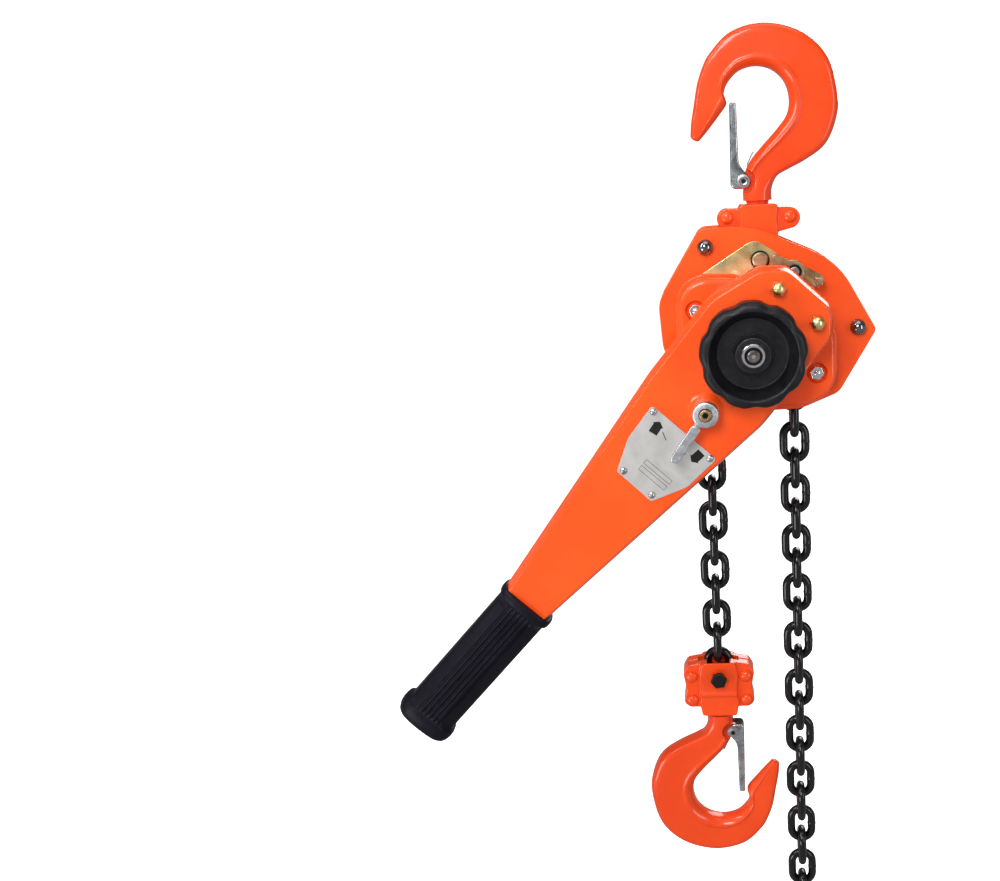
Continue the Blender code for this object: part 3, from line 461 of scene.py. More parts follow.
def pressed(outline, profile, holes=()):
    """A flat outline whose edge follows a profile of (inset, y), closed by a face at each end.

    A hole is (loop, its own profile), and runs between the same two faces.
    """
    bm = bmesh.new()
    caps = [[], []]
    for loop, rows in ((outline, profile), *holes):
        rings = [[bm.verts.new((x, y, z)) for x, z in shifted(loop, inset)] for inset, y in rows]
        bridge(bm, rings)
        for cap, ring in zip(caps, (rings[0], rings[-1])):
            for k in range(len(ring)):
                cap.append(bm.edges.get((ring[k - 1], ring[k])))
    for cap in caps:
        bmesh.ops.triangle_fill(bm, use_beauty=True, use_dissolve=False, edges=cap)
    return finished(bm)


def fillet(inset, y, radius, inward, steps=4):
    """The rows of a rounded edge, from a face at y to a side at inset.

    inward is 1 or -1, the way along Y into the solid.
    """
    rows = []
    for k in range(steps + 1):
        angle = pi / 2 * k / steps
        rows.append((inset + radius * (1 - sin(angle)), y + inward * radius * (1 - cos(angle))))
    return rows


def edge_rows(front, back, front_radius, back_radius, steps=4):
    rear = fillet(0, back, back_radius, -1, steps)
    return fillet(0, front, front_radius, 1, steps) + rear[::-1]


def plate(outline, front, back, radius=0.5, back_radius=None, holes=(), chamfer=0.3):
    """A solid plate with rounded edges, and holes that open out a little at each face."""
    back_radius = radius if back_radius is None else back_radius
    rows = [(-chamfer, front), (0, front + chamfer), (0, back - chamfer), (-chamfer, back)]
    cuts = [(loop, rows) for loop in holes]
    return pressed(outline, edge_rows(front, back, radius, back_radius), cuts)


def tray(outline, face, rim, wall, radius, holes=(), lip=0):
    """A pressed shell: a face at y=face, rounded sides, and an open rim.

    With a lip, its sides are drawn: they slope out from the face, and end in a small bead.
    """
    inward = 1 if rim > face else -1
    inner = max(0.4, radius - wall)
    if lip:
        rows = fillet(radius - 3.3, face, 1.6, inward, 4)[:-1]
        drawn = [(radius - 3.6, 2), (0.7, 6.4), (0.2, 8)]
        bead = [(0, 2.4), (-lip, 1.7), (-lip, 0.3), (0.3 - lip, 0), (wall, 0)]
        rows += [(inset, face + inward * depth) for inset, depth in drawn]
        rows += [(inset, rim - inward * depth) for inset, depth in bead]
    else:
        rows = fillet(0, face, radius, inward, 6) + [(0, rim), (wall, rim)]
    floor = face + inward * wall
    rows += fillet(wall, floor, inner, inward, 4)[::-1]
    cuts = [(loop, [(-0.4, face), (0, face + inward * 0.4), (0, floor)]) for loop in holes]
    return pressed(outline, rows, cuts)


def lathe(x, z, profile, steps=64):
    """A profile of (radius, y) turned about an axis along Y, closed if both ends are off it."""
    bm = bmesh.new()
    rings = []
    for radius, y in profile:
        if radius < 1e-6:
            rings.append([bm.verts.new((x, y, z))])
            continue
        rings.append([bm.verts.new((px, y, pz)) for px, pz in circle(x, z, radius, steps)])
    bridge(bm, rings, closed=len(rings[0]) > 1 and len(rings[-1]) > 1)
    return finished(bm)


def loft(rings, cyclic=False):
    """A skin over rings of points, closed by a face at each end or by itself."""
    bm = bmesh.new()
    rows = [[bm.verts.new(point) for point in ring] for ring in rings]
    bridge(bm, rows, cyclic)
    if not cyclic:
        bm.faces.new(rows[0])
        bm.faces.new(rows[-1])
    return finished(bm)


def tube(points, radii, sides=12, cyclic=False):
    """A round wire along points, with one radius or one for each point."""
    count = len(points)
    points = [Vector(point) for point in points]
    radii = radii if isinstance(radii, list) else [radii] * count
    normal = None
    rings = []
    for i, point in enumerate(points):
        before = points[i - 1] if cyclic or i else point
        after = points[(i + 1) % count] if cyclic or i < count - 1 else point
        along = (after - before).normalized()
        if normal is None:
            normal = along.orthogonal().normalized()
            if abs(along.y) < 0.9:
                normal = (Vector((0, 1, 0)) - along * along.y).normalized()
        normal = (normal - along * normal.dot(along)).normalized()
        side = along.cross(normal)
        angles = [2 * pi * k / sides for k in range(sides)]
        rings.append([point + (normal * cos(a) + side * sin(a)) * radii[i] for a in angles])
    return loft(rings, cyclic)


def moved(mesh, place):
    mesh.transform(place)
    return mesh


def merged(meshes):
    bm = bmesh.new()
    for mesh in meshes:
        bm.from_mesh(mesh)
        bpy.data.meshes.remove(mesh)
    return finished(bm)


def add_object(name, data):
    obj = bpy.data.objects.new(name, data)
    bpy.context.scene.collection.objects.link(obj)
    return obj


def evaluated(mesh, *steps):
    """The mesh after modifiers, each given as (kind, settings)."""
    obj = add_object("work", mesh)
    tools = []
    for kind, settings in steps:
        modifier = obj.modifiers.new(kind.lower(), kind)
        for key, value in settings.items():
            if key == "object":
                value = add_object("tool", value)
                tools.append(value)
            setattr(modifier, key, value)
    bpy.context.view_layer.update()
    graph = bpy.context.evaluated_depsgraph_get()
    result = bpy.data.meshes.new_from_object(obj.evaluated_get(graph))
    for used in (obj, *tools):
        old = used.data
        bpy.data.objects.remove(used)
        bpy.data.meshes.remove(old)
    return result


def combined(operation, mesh, tools):
    steps = [("BOOLEAN", {"operation": operation, "object": tool}) for tool in tools]
    return evaluated(mesh, *steps)


def carved(mesh, *cutters):
    return combined("DIFFERENCE", mesh, cutters)


def joined(mesh, *others):
    return combined("UNION", mesh, others)


def forged(mesh, voxel=0.55, passes=4):
    """One smooth skin over overlapping solids, as a casting has."""
    steps = [
        ("REMESH", {"mode": "VOXEL", "voxel_size": voxel}),
        ("SMOOTH", {"factor": 0.5, "iterations": passes}),
    ]
    return evaluated(mesh, *steps)


def place_piece(name, mesh, look, body, *nodes, sharp=32):
    """Adds a mesh in millimetres as a piece that rides on a body and stands for CAD nodes."""
    mesh.transform(Matrix.Scale(MM, 4))
    mesh.materials.clear()
    mesh.materials.append(look.material)
    mesh.shade_smooth()
    mesh.set_sharp_from_angle(angle=radians(sharp))
    obj = add_object(name, mesh)
    obj.modifiers.new("weighted_normals", "WEIGHTED_NORMAL").keep_sharp = True
    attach(obj, body)
    if nodes:
        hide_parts(*nodes)


def on_lever(s, t):
    """World X and Z of a point in the lever's frame: s towards the grip, t across it."""
    return (
        AXIS_X + s * cos(LEVER_ANGLE) - t * sin(LEVER_ANGLE),
        AXIS_Z + s * sin(LEVER_ANGLE) + t * cos(LEVER_ANGLE),
    )


def lever_loop(outline):
    return [on_lever(s, t) for s, t in outline]


def dome(x, z, radius, height, foot, steps=40):
    """A round head that stands on y=foot, towards the viewer where height is negative."""
    base = [(0, foot - height * 0.1), (radius, foot - height * 0.1)]
    return lathe(x, z, [*base, *quarter(radius, foot, height), (0, foot + height)], steps)


def acorn(x, z, flats, foot, steps=48):
    """A cap nut that stands on y=foot: a hexagon that runs out into a dome."""
    # Rows of (share of the radius, height, 0 for a hexagon to 1 for a circle)
    rows = [(1, 0, 0), (1, 3, 0), (0.99, 3.5, 0.5), (0.97, 3.9, 0.85), (0.95, 4.3, 1)]
    rows += [(reach, height, 1) for reach, height in quarter(0.94, 4.3, 4.2, 9)[1:]]
    rings = []
    for reach, height, roundness in rows:
        ring = []
        for k in range(steps):
            angle = 2 * pi * k / steps
            corner = 1 / cos((angle % (pi / 3)) - pi / 6)
            radius = flats / 2 * reach * (corner + (1 - corner) * roundness)
            ring.append((x + radius * cos(angle), foot - height, z + radius * sin(angle)))
        rings.append(ring)
    return loft(rings)


# ---- Frame


def build_frame():
    """The side plates and their stays, the yoke's pin and the gear cover."""
    corners = [
        (-45.5, -117.8, 9), (-6, -117, 90), (59, -147, 60), (88.6, -200.5, 5), (59.5, -249, 14),
        (30, -261, 30), (-36, -263, 40), (-77, -214, 32), (-79.5, -172.5, 26),
    ]
    stays = {name: centre_of(f"stay_bolt_{name}") for name in ("left", "right", "bottom")}
    holes = [circle(*place, 4.3) for place in stays.values()]
    holes += [circle(*PIN, PIN_HOLE), circle(*AXIS, 12.9)]
    outline = rounded(corners, 3)
    for name, front in (("front", -PLATE_OUT), ("rear", PLATE_IN)):
        mesh = plate(outline, front, front + PLATE_OUT - PLATE_IN, 0.8, holes=holes)
        place_piece(f"side_plate_{name}_painted", mesh, PAINT, "frame", f"side_plate_{name}")
    for name, place in stays.items():
        spacer, face = PLATE_IN - GAP, PLATE_OUT + GAP
        if name == "bottom":
            head = [(0, -face), (4, -face)]
        else:
            arc = quarter(6.2, -face - 1.2, -6.2, 10)
            head = [(0, -face - 7.4), *arc[::-1], (6.2, -face)]
        body = [(4, -face), (4, -spacer), (5.6, -spacer)]
        mesh = lathe(*place, head + body + flipped(head + body))
        look = STEEL if name == "bottom" else DARK_CHROME
        place_piece(f"stay_{name}", mesh, look, "frame", f"stay_bolt_{name}", sharp=40)
    build_pin()
    build_gear_cover()


def build_pin():
    """The yoke's pin, with a flat head, a groove and its retaining ring."""
    rows = [
        (0, -28.6), (5, -28.6), (6.1, -28), (6.1, -25.4), (5.2, -25.3), (5.2, -24.3), (6, -24.2),
        (6, 22.4), (5.4, 22.9), (0, 22.9),
    ]
    pin = lathe(*PIN, rows, 48)
    place_piece("yoke_pin_turned", pin, AGED, "frame", "yoke_pin", sharp=25)
    ring = [(5.25, -25.25), (7.2, -25.15), (7.2, -24.45), (5.25, -24.35)]
    place_piece("yoke_pin_ring", lathe(*PIN, ring, 48), BOLT_BLACK, "frame")


def build_gear_cover():
    """The rear cover over the gears, with its three bolts."""
    back, front = 61, PLATE_OUT + GAP
    rows = [
        (0, back - 2.5), (42.3, back - 2.5), (49.3, back - 9), (49.3, front), (56, front),
        (56, front + 3), (52, front + 3.2), (52, back - 9), (48, back - 2.5), (43, back),
        (17, back), (15.5, back - 0.9), (0, back - 0.9),
    ]
    cover = lathe(*AXIS, soften(rows, 1.8, closed=False, steps=4), 96)
    place_piece("gear_cover_pressed", cover, PAINT, "frame", "gear_cover")
    for k in range(3):
        angle = radians(90 + 120 * k)
        x, z = polar(*AXIS, 35, angle)
        head = plate(hexagon(x, z, 8, angle), back + 0.9, back + 3.6, 0.4)
        washer = plate(circle(x, z, 6.2), back - 0.2, back + 1, 0.3)
        place_piece(f"gear_cover_bolt_{k + 1}", joined(head, washer), ZINC, "frame")


# ---- Brake


def build_brake():
    """The pawl plate with its post and pawls, and the brake's cover."""
    front = PAWL_PLATE_BACK - PAWL_PLATE_THICK
    corners = [
        (-62, -153.5, 20), (-47, -153.5, 6), (-4, -127, 10), (12, -138, 5), (38, -162, 10),
        (55, -190, 20), (55, -250, 24), (10, -254, 40), (-44, -241, 34), (-64, -206, 30),
    ]
    post = centre_of("pawl_post")
    post_hole = circle(*post, POST_HOLE)
    holes = [circle(*AXIS, 25), circle(*PIN, PIN_HOLE), post_hole]
    mesh = plate(rounded(corners, 4), front, PAWL_PLATE_BACK, 0.4, holes=holes)
    place_piece("pawl_plate_pressed", mesh, GOLD, "frame", "pawl_plate")
    build_cover(front - GAP)

    rows = [
        (0, -40.5), (2.9, -40.5), (3.5, -40), (3.5, -39.2), (2.8, -39.1), (2.8, -38.1), (3.5, -38),
        (3.5, -19), (0, -19),
    ]
    turned = lathe(*post, rows, 40)
    place_piece("pawl_post_turned", turned, STEEL, "frame", "pawl_post", sharp=25)
    clip = [polar(*post, 5.4, radians(a)) for a in range(-150, 151, 10)]
    clip += [polar(*post, 2.9, radians(a)) for a in range(150, -151, -10)]
    place_piece("pawl_circlip", plate(clip, -39, -38.2, 0.15), BOLT_BLACK, "frame")

    # Each pawl is (its face's y, its corners)
    pawls = {
        "front": (-37.4, [
            (8.6, -137.4, 1.5), (30, -146.8, 6), (33.5, -155, 4), (15, -169.5, 2),
            (8, -175, 1), (8.5, -167, 3), (15, -156.5, 4), (9.5, -146, 1.5),
        ]),
        "rear": (-30.4, [
            (16.5, -144, 3), (27, -143, 7), (34, -149.5, 4), (46, -155.5, 2),
            (48.5, -160.5, 2), (43, -165.5, 2), (30, -160, 3), (18, -158, 4),
        ]),
    }
    for name, (y, corners) in pawls.items():
        mesh = plate(rounded(corners), y, y + 5.4, 0.7, holes=[post_hole])
        if name == "rear":
            tip = [(*corner, 0.8) for corner in rectangle(41, -163.2, 46.2, -157.2)]
            mesh = joined(mesh, plate(rounded(tip, 20), -35.2, -28, 0.8))
        place_piece(f"{name}_pawl_forged", mesh, AGED, f"{name}_pawl", f"pawl_{name}")


def build_cover(rim):
    """The brake's cover: a domed pressing with a flange, nut recesses and room for the pawls."""
    corners = [
        (-66, -150.5, 24), (-20, -152.5, 40), (30, -172, 60), (57.5, -196, 24), (57.5, -252.5, 26),
        (10, -257, 40), (-44, -244, 36), (-66, -206, 30),
    ]
    outline = rounded(corners, 3)
    nuts = {name: centre_of(f"cover_nut_{name}") for name in ("left", "right")}
    raised, bore = shifted(outline, 2.4), circle(*AXIS, 12.5)
    shell = tray(raised, COVER_FRONT, rim - 1.2, wall=2.2, radius=4.2, holes=[bore])
    opening = (shifted(outline, 4), [(0, rim - 3.4), (0, rim)])
    flange = pressed(outline, edge_rows(rim - 3.4, rim, 1.4, 0.2), [opening])
    cups = []
    for place in nuts.values():
        floor = COVER_FRONT + 3.2
        rows = [
            (2.7, floor), (6.4, floor), (7.6, COVER_FRONT + 2), (8, COVER_FRONT + 0.6),
            (9.4, COVER_FRONT + 0.3), (9.4, floor + 2), (2.7, floor + 2),
        ]
        cups.append(lathe(*place, rows, 48))
        recess = rectangle(0, COVER_FRONT - 5, 8.4, floor + 1)
        shell = carved(shell, lathe(*place, recess, 48))
    shell = joined(shell, flange, *cups)
    window = plate(rectangle(-4, -178, 46, -140), -38, rim + 1, 0)
    shell = carved(shell, window)
    place_piece("brake_cover_pressed", shell, PAINT, "frame", "brake_cover")
    for name, place in nuts.items():
        nut = plate(hexagon(*place, 9.4, 0.3), COVER_FRONT - 0.8, COVER_FRONT + 2.7, 0.5)
        nut = joined(nut, dome(*place, 2.5, -1, COVER_FRONT - 1))
        place_piece(f"cover_nut_{name}_plated", nut, ZINC, "frame", f"cover_nut_{name}")


# ---- Lever


def build_lever():
    """The two pressed shells, the bolts with their acorn nuts, the name plate and the grip."""
    corners = [
        (272.5, -20.4, 0), (64, -46, 90), (-10, -50, 45), (-48, -38, 22), (-62.7, -22, 16),
        (-62.7, 24, 19), (-46, 38, 18), (38, 43.5, 70), (272.5, 19.4, 0),
    ]
    outline = lever_loop(rounded(corners, 3))
    bolts = {name: centre_of(f"lever_bolt_{name}") for name in ("upper", "right")}
    post = on_lever(*SELECTOR)
    holes = [circle(*AXIS, 11.6, 48), circle(*post, POST_HOLE)]
    holes += [circle(*place, 2.6, 24) for place in bolts.values()]
    sizes = {"wall": 2, "radius": 5.5, "lip": 0.7, "holes": holes}
    front = tray(outline, LEVER_FRONT, LEVER_SPLIT - SEAM, **sizes)
    boss = [
        (3.8, LEVER_FRONT + 1), (3.8, LEVER_FRONT - 4.2), (9.6, LEVER_FRONT - 4.2),
        (12.2, LEVER_FRONT - 1.2), (14, LEVER_FRONT + 0.2), (14, LEVER_FRONT + 1),
    ]
    front = joined(front, lathe(*post, soften(boss, 0.9, steps=3), 64))
    place_piece("lever_front_pressed", front, PAINT, "lever", "lever_front")
    rear = tray(outline, LEVER_BACK, LEVER_SPLIT + SEAM, **sizes)
    place_piece("lever_rear_pressed", rear, PAINT, "lever", "lever_rear")

    for name, (x, z) in bolts.items():
        face = LEVER_FRONT - GAP
        shank = plate(circle(x, z, 2.3, 24), face - 2, LEVER_BACK + 2.4, 0.2)
        nut = acorn(x, z, 10.6, face)
        tail = plate(hexagon(x, z, 8, 0.5), LEVER_BACK + GAP, LEVER_BACK + 1.8, 0.3)
        bolt = joined(shank, nut, tail)
        place_piece(f"lever_bolt_{name}_plated", bolt, GOLD, "lever", f"lever_bolt_{name}")
    build_name_plate()
    build_grip()


def build_name_plate():
    corners = [
        (78.9, -30, 2.4), (78.5, 33.6, 2.4), (109.5, 31.2, 8), (136.2, 18, 2.6),
        (135.3, -17.2, 2.6), (110, -27.4, 8),
    ]
    face = LEVER_FRONT - GAP
    top = face - 0.6
    mesh = plate(lever_loop(rounded(corners, 10)), top, face, 0.2)
    place_piece("name_plate_alloy", mesh, ALLOY, "lever", "name_plate")
    for k, (s, t) in enumerate(((81.9, -26.2), (81.2, 29.4), (131.6, -13.6), (132, 14.9))):
        x, z = on_lever(s, t)
        place_piece(f"name_plate_rivet_{k + 1}", dome(x, z, 2.8, -1.8, top, 28), STEEL, "lever")

    def printed(name, outline, holes=()):
        rows = [(0, top - 0.06), (0, top + 0.05)]
        cuts = [(lever_loop(hole), rows) for hole in holes]
        place_piece(name, pressed(lever_loop(outline), rows, cuts), INK, "lever")

    arrow = [(-3.5, -5.3), (3.5, -5.3), (3.5, 1.7), (4.7, 2), (0, 5.3), (-4.7, 2), (-3.5, 1.7)]
    for name, s, t, turn in (("up", 89.6, -16.6, radians(98)), ("down", 87.2, 21, radians(-96))):
        c, d = cos(turn), sin(turn)
        spun = [(s + a * c - b * d, t + a * d + b * c) for a, b in arrow]
        printed(f"name_plate_arrow_{name}", spun)
    ticks = {"left": (89.1, -10.9, 92.3, -4.7), "right": (92.6, 10.8, 90.6, 13.6)}
    for name, (s0, t0, s1, t1) in ticks.items():
        a, b = Vector((s1 - s0, t1 - t0)).normalized() * 0.32
        strip = [(s0 - b, t0 + a), (s0 + b, t0 - a), (s1 + b, t1 - a), (s1 - b, t1 + a)]
        printed(f"name_plate_tick_{name}", strip)
    for name, s0, s1 in (("upper", 113.2, 117), ("lower", 119.2, 123.2)):
        box = rectangle(s0, -6, s1, 19.5)
        printed(f"name_plate_box_{name}", box, [shifted(box, 0.28)])


def build_grip():
    """A moulded rubber grip: two flanges, big facets, and grooves that run out at each end."""
    middle = (LEVER_FRONT + LEVER_BACK) / 2
    # Stations of (s along the lever, half the width across it, half the depth)
    stations = [
        (266, 22.8, 17), (266.4, 23.7, 17.8), (267.3, 24.3, 18.3), (268.6, 24.5, 18.5),
        (271.6, 24.5, 18.5), (272.6, 24.2, 18.2), (273.3, 23.4, 17.6), (273.8, 22.4, 16.9),
        (274.6, 21.9, 16.5), (278, 21.8, 16.4),
    ]
    stations += [(278 + 114 * k / 57, 21.8 - 0.2 * k / 57, 16.4) for k in range(1, 58)]
    stations += [
        (393.2, 22, 16.6), (394, 23.2, 17.3), (395.2, 24.5, 18), (397.2, 25.4, 18.5),
        (400, 25.5, 18.5), (403.2, 25, 18), (405.8, 23.8, 17), (407.6, 21.8, 15.2),
        (408.6, 19.4, 13), (409, 16, 10),
    ]
    # The section is a rounded octagon, with sharper corners between the flanges
    grooves, groove_half = [-10.4, -6.3, -2.2, 2, 6.1, 10.2], 1.05
    count = 288
    rings = []
    for s, half_t, half_y in stations:
        ramp = unit((s - 275) / 2) * unit((393 - s) / 2)
        body = unit((s - 273) / 5) * unit((397 - s) / 5)
        depth, limit, power = 1.5 * ramp, 1.74 - 0.28 * body, 6 + 10 * body
        ring = []
        for k in range(count):
            angle = 2 * pi * k / count
            c, d = abs(cos(angle)) / half_t, abs(sin(angle)) / half_y
            reach = (c**power + d**power + ((c + d) / limit) ** power) ** (-1 / power)
            t, y = reach * cos(angle), reach * sin(angle)
            hollow = sum(exp(-(((t - groove) / groove_half) ** 4)) for groove in grooves)
            if abs(y) > half_y * 0.85:
                y -= depth * hollow * (1 if y > 0 else -1)
            x, z = on_lever(s, t + 0.5)
            ring.append((x, middle + y, z))
        rings.append(ring)
    place_piece("grip_moulded", loft(rings), RUBBER, "lever", "grip", sharp=40)


def build_selector():
    """The selector's disc and bar, and the screw with its hexagon socket."""
    x, z = on_lever(*SELECTOR)
    rows = [
        (3.8, -76.6), (8.6, -76.6), (9.2, -77.8), (9.9, -82.4), (10, -86.4), (9.3, -87.7),
        (7.9, -88.2), (5.3, -88.2), (4.9, -87.7), (4.8, -86), (3.8, -86),
    ]
    disc = lathe(x, z, rows, 64)
    neck = [(62.5, 1.6, 1), (69, 2.1, 1), (69.2, 6.9, 1), (62.5, 6.2, 1)]
    bar = [(67, 0.7, 2.4), (99.6, 4.9, 3.5), (98.7, 12.1, 3.5), (66.1, 7.9, 2.4)]
    neck = plate(lever_loop(rounded(neck, 15)), -86, -83, 0.8)
    bar = plate(lever_loop(rounded(bar, 15)), -87.6, -82.4, 0.9)
    place_piece("selector_cast", joined(disc, neck, bar), GALVANISED, "selector", "selector_lever")
    socket = hexagon(x, z, 4.2, 0.4)
    inside = [(-0.3, -89.9), (0, -89.6), (0, -87)]
    outside = [(0.7, -89.9), (0.25, -89.75), (0, -89.3), (0, -87)]
    head = pressed(circle(x, z, 4.4), outside, [(socket, inside)])
    # Painted shade: the socket's floor is a black disc, dark for the shade deep in the hexagon
    # socket
    floor = plate(circle(x, z, 4.3), -86.9, -86.1, 0.1)
    place_piece("selector_screw", head, AGED, "selector", sharp=25)
    place_piece("selector_socket_painted_shade", floor, BOLT_BLACK, "selector")


WHEEL_RADIUS, SCALLOPS, SCALLOP_DEPTH = 39.4, 9, 1.9


def build_wheel():
    """The hand wheel with its scallops, a conical dish and a raised hub, and the shaft's end."""
    points = 216

    def scallop(angle):
        """The rim's radius."""
        phase = SCALLOPS * (angle + radians(9)) / 2
        return WHEEL_RADIUS - SCALLOP_DEPTH * abs(cos(phase)) ** 5

    # Rows of (radius, y, 0), or where they end in 1, (distance inside the rim, y, 1)
    rows = [
        (4.7, -88.5, 0), (11.8, -88.5, 0), (12.9, -88.1, 0), (13.3, -87, 0), (13.4, -81.2, 0),
        (14, -79.9, 0), (15.2, -79.5, 0), (24.6, -79.5, 0), (26, -79.8, 0), (26.8, -80.8, 0),
        (31.4, -91.8, 0), (31.9, -93.6, 0), (32.7, -94.4, 0), (33.4, -94.6, 0), (4.4, -94.5, 1),
        (3.2, -94.3, 1), (2, -93.6, 1), (0.9, -92.4, 1), (0.25, -91, 1), (0, -89.4, 1),
        (0, -78.6, 1), (0.5, -76.6, 1), (1.7, -75.6, 1), (3.4, -75.5, 1), (22, -75.5, 0),
        (11.3, -75.5, 0), (11.3, -75.8, 0), (4.7, -75.8, 0),
    ]
    rings = []
    for amount, y, outer in rows:
        ring = []
        for k in range(points):
            angle = 2 * pi * k / points
            x, z = polar(*AXIS, scallop(angle) - amount if outer else amount, angle)
            ring.append((x, y, z))
        rings.append(ring)
    place_piece("hand_wheel_cast", loft(rings, cyclic=True), WHEEL, "drive", "hand_wheel", sharp=38)

    teeth = []
    for k in range(40):
        for share, radius in ((0, 14.3), (0.3, 15.2), (0.6, 15.2), (0.9, 14.3)):
            teeth.append(polar(*AXIS, radius, 2 * pi * (k + share) / 40))
    rows = [(0, -83.4), (0, -79.6)]
    collar = pressed(teeth, rows, [(circle(*AXIS, 13.2, 60), rows)])
    place_piece("wheel_collar", collar, BOLT_BLACK, "drive")
    nut = [(6.3, -90.8), (6.7, -91.3), (8.2, -91.4), (8.8, -90.8), (8.8, -88.8), (6.3, -88.8)]
    nut = lathe(*AXIS, nut, 64)
    place_piece("wheel_nut_plated", nut, ZINC, "drive", "wheel_nut", sharp=25)
    # Partly painted shade: a black washer sits down between the nut and the shaft's end, and its
    # black also stands for the shade in that gap
    washer = lathe(*AXIS, rectangle(4.6, -90, 6.2, -88.6), 64)
    place_piece("wheel_washer_gap_shade", washer, BOLT_BLACK, "drive", sharp=25)
    end = [
        (0, -89.6), (1.5, -90), (1.5, -93.1), (1.8, -93.5), (3.7, -93.6), (4.55, -93),
        (4.55, -90.4), (4.55, -89), (0, -89),
    ]
    end = lathe(*AXIS, end, 48)
    place_piece("drive_shaft_end", end, PIN_STEEL, "drive", sharp=25)


# ---- Chain


def link_mesh():
    """A short welded link, upright and face-on to the viewer, about its own middle."""
    limb = (LINK_WIDTH - WIRE) / 2
    straight = (PITCH + WIRE) / 2 - limb
    path = []
    for end in (1, -1):
        for k in range(13):
            angle = pi * k / 12
            path.append((end * limb * cos(angle), 0, end * (straight + limb * sin(angle))))
        if end == 1:
            path += [(-limb, 0, straight * share) for share in (0.6, 0.2, -0.2, -0.6)]
    seam = [0.75, 0.3, 0.12, 0.05, -0.05, -0.12, -0.3, -0.75]
    path += [(limb, 0, -share * straight) for share in seam]
    radii, weld_height, weld_half = [], 0.28, 0.9
    for x, _, z in path:
        weld = exp(-((z / weld_half) ** 2)) if x > limb - 0.01 else 0
        radii.append(WIRE / 2 + weld_height * weld)
    return tube(path, radii, 14, cyclic=True)


def build_chain():
    """Both runs, the links on the sheave, and the tail's ring. Every link shares one mesh."""
    mesh = link_mesh()
    mesh.transform(Matrix.Scale(MM, 4))
    mesh.materials.append(OXIDE.material)
    mesh.shade_smooth()
    nodes = {"tail": "tail_chain", "load": "load_chain", "sheave": "sheave_chain"}
    links = [("tail", "tail_run", TAIL_X, m, m % 2 == 0) for m in range(1, TAIL_LINKS + 1)]
    links += [("load", "load_run", LOAD_X, m, m % 2 == 1) for m in range(LOAD_LINKS)]
    links += [("sheave", "sheave", AXIS_X, m, m % 2 == 0) for m in range(SHEAVE_LINKS)]
    for run, body, x, m, face_on in links:
        z, tilt = AXIS_Z - m * PITCH, 0
        if run == "sheave":
            tilt = LINK_ANGLE * m
            x, z = polar(*AXIS, CHAIN_RADIUS, tilt)
        obj = add_object(f"{run}_link_{m + 1:02d}", mesh)
        turn = Matrix.Rotation(-tilt, 4, "Y")
        if not face_on:
            turn = turn @ Matrix.Rotation(pi / 2, 4, "Z")
        obj.matrix_world = Matrix.Translation(Vector((x, 0, z)) * MM) @ turn
        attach(obj, body)
        if nodes[run]:
            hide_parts(nodes[run])
            nodes[run] = None
    ring = centre_of("tail_ring")
    loop = [(x, 0, z) for x, z in circle(*ring, 10, 64)]
    place_piece("tail_ring_wire", tube(loop, 2.5, 16, cyclic=True), ZINC, "tail_run", "tail_ring")


# ---- Hooks and their holders

# From the shank to the tip: the section's inner point, its outer point, and half its depth
HOOK_STATIONS = [
    ((-11, -99), (11, -99), 11), ((-11, -91), (11.3, -90), 11), ((-9.5, -79), (15.5, -81.5), 10.5),
    ((-4.6, -69), (23.5, -77), 10.5), ((4.5, -58.5), (38, -70), 10.5),
    ((15.5, -47), (52.5, -59.5), 10.5), ((23.5, -36.5), (60.5, -42.5), 10.5),
    ((25.5, -25), (62.3, -24), 10.5), ((22, -12.5), (55.2, 3.9), 10.5),
    ((12.8, -3.3), (36.7, 22.6), 10.5), ((0, 0), (9, 31), 10), ((-12.5, -3.3), (-17.2, 25.6), 9.5),
    ((-21, -12), (-33.4, 10.9), 8.7), ((-22.9, -18.6), (-39.4, 0.6), 8.2),
    ((-21.6, -26.2), (-43.6, -11), 7.6), ((-28.4, -35.6), (-46.4, -25), 6.6),
    ((-36.8, -45.6), (-49, -38.5), 5.6), ((-42.4, -51.6), (-49.9, -47.8), 4.4),
]

# Half of a hook's section, from its inner edge (-1) to its outer edge (1)
HOOK_SECTION = [
    (-1, 0), (-1, 0.2), (-0.985, 0.38), (-0.95, 0.54), (-0.87, 0.72), (-0.78, 0.855), (-0.71, 0.94),
    (-0.66, 0.985), (-0.61, 1), (-0.565, 0.985), (-0.53, 0.93), (-0.49, 0.895), (-0.4, 0.885),
    (0, 0.89), (0.4, 0.89), (0.62, 0.88), (0.76, 0.845), (0.87, 0.75), (0.945, 0.58), (0.985, 0.34),
    (1, 0),
]


def spline(values, t):
    """Catmull-Rom through values, at t from 0 to their count less one."""
    i = min(int(t), len(values) - 2)
    f = t - i
    a, b = values[max(i - 1, 0)], values[i]
    c, d = values[i + 1], values[min(i + 2, len(values) - 1)]
    square, cube = 2 * a - 5 * b + 4 * c - d, 3 * b - a - 3 * c + d
    return 0.5 * (2 * b + (c - a) * f + square * f * f + cube * f**3)


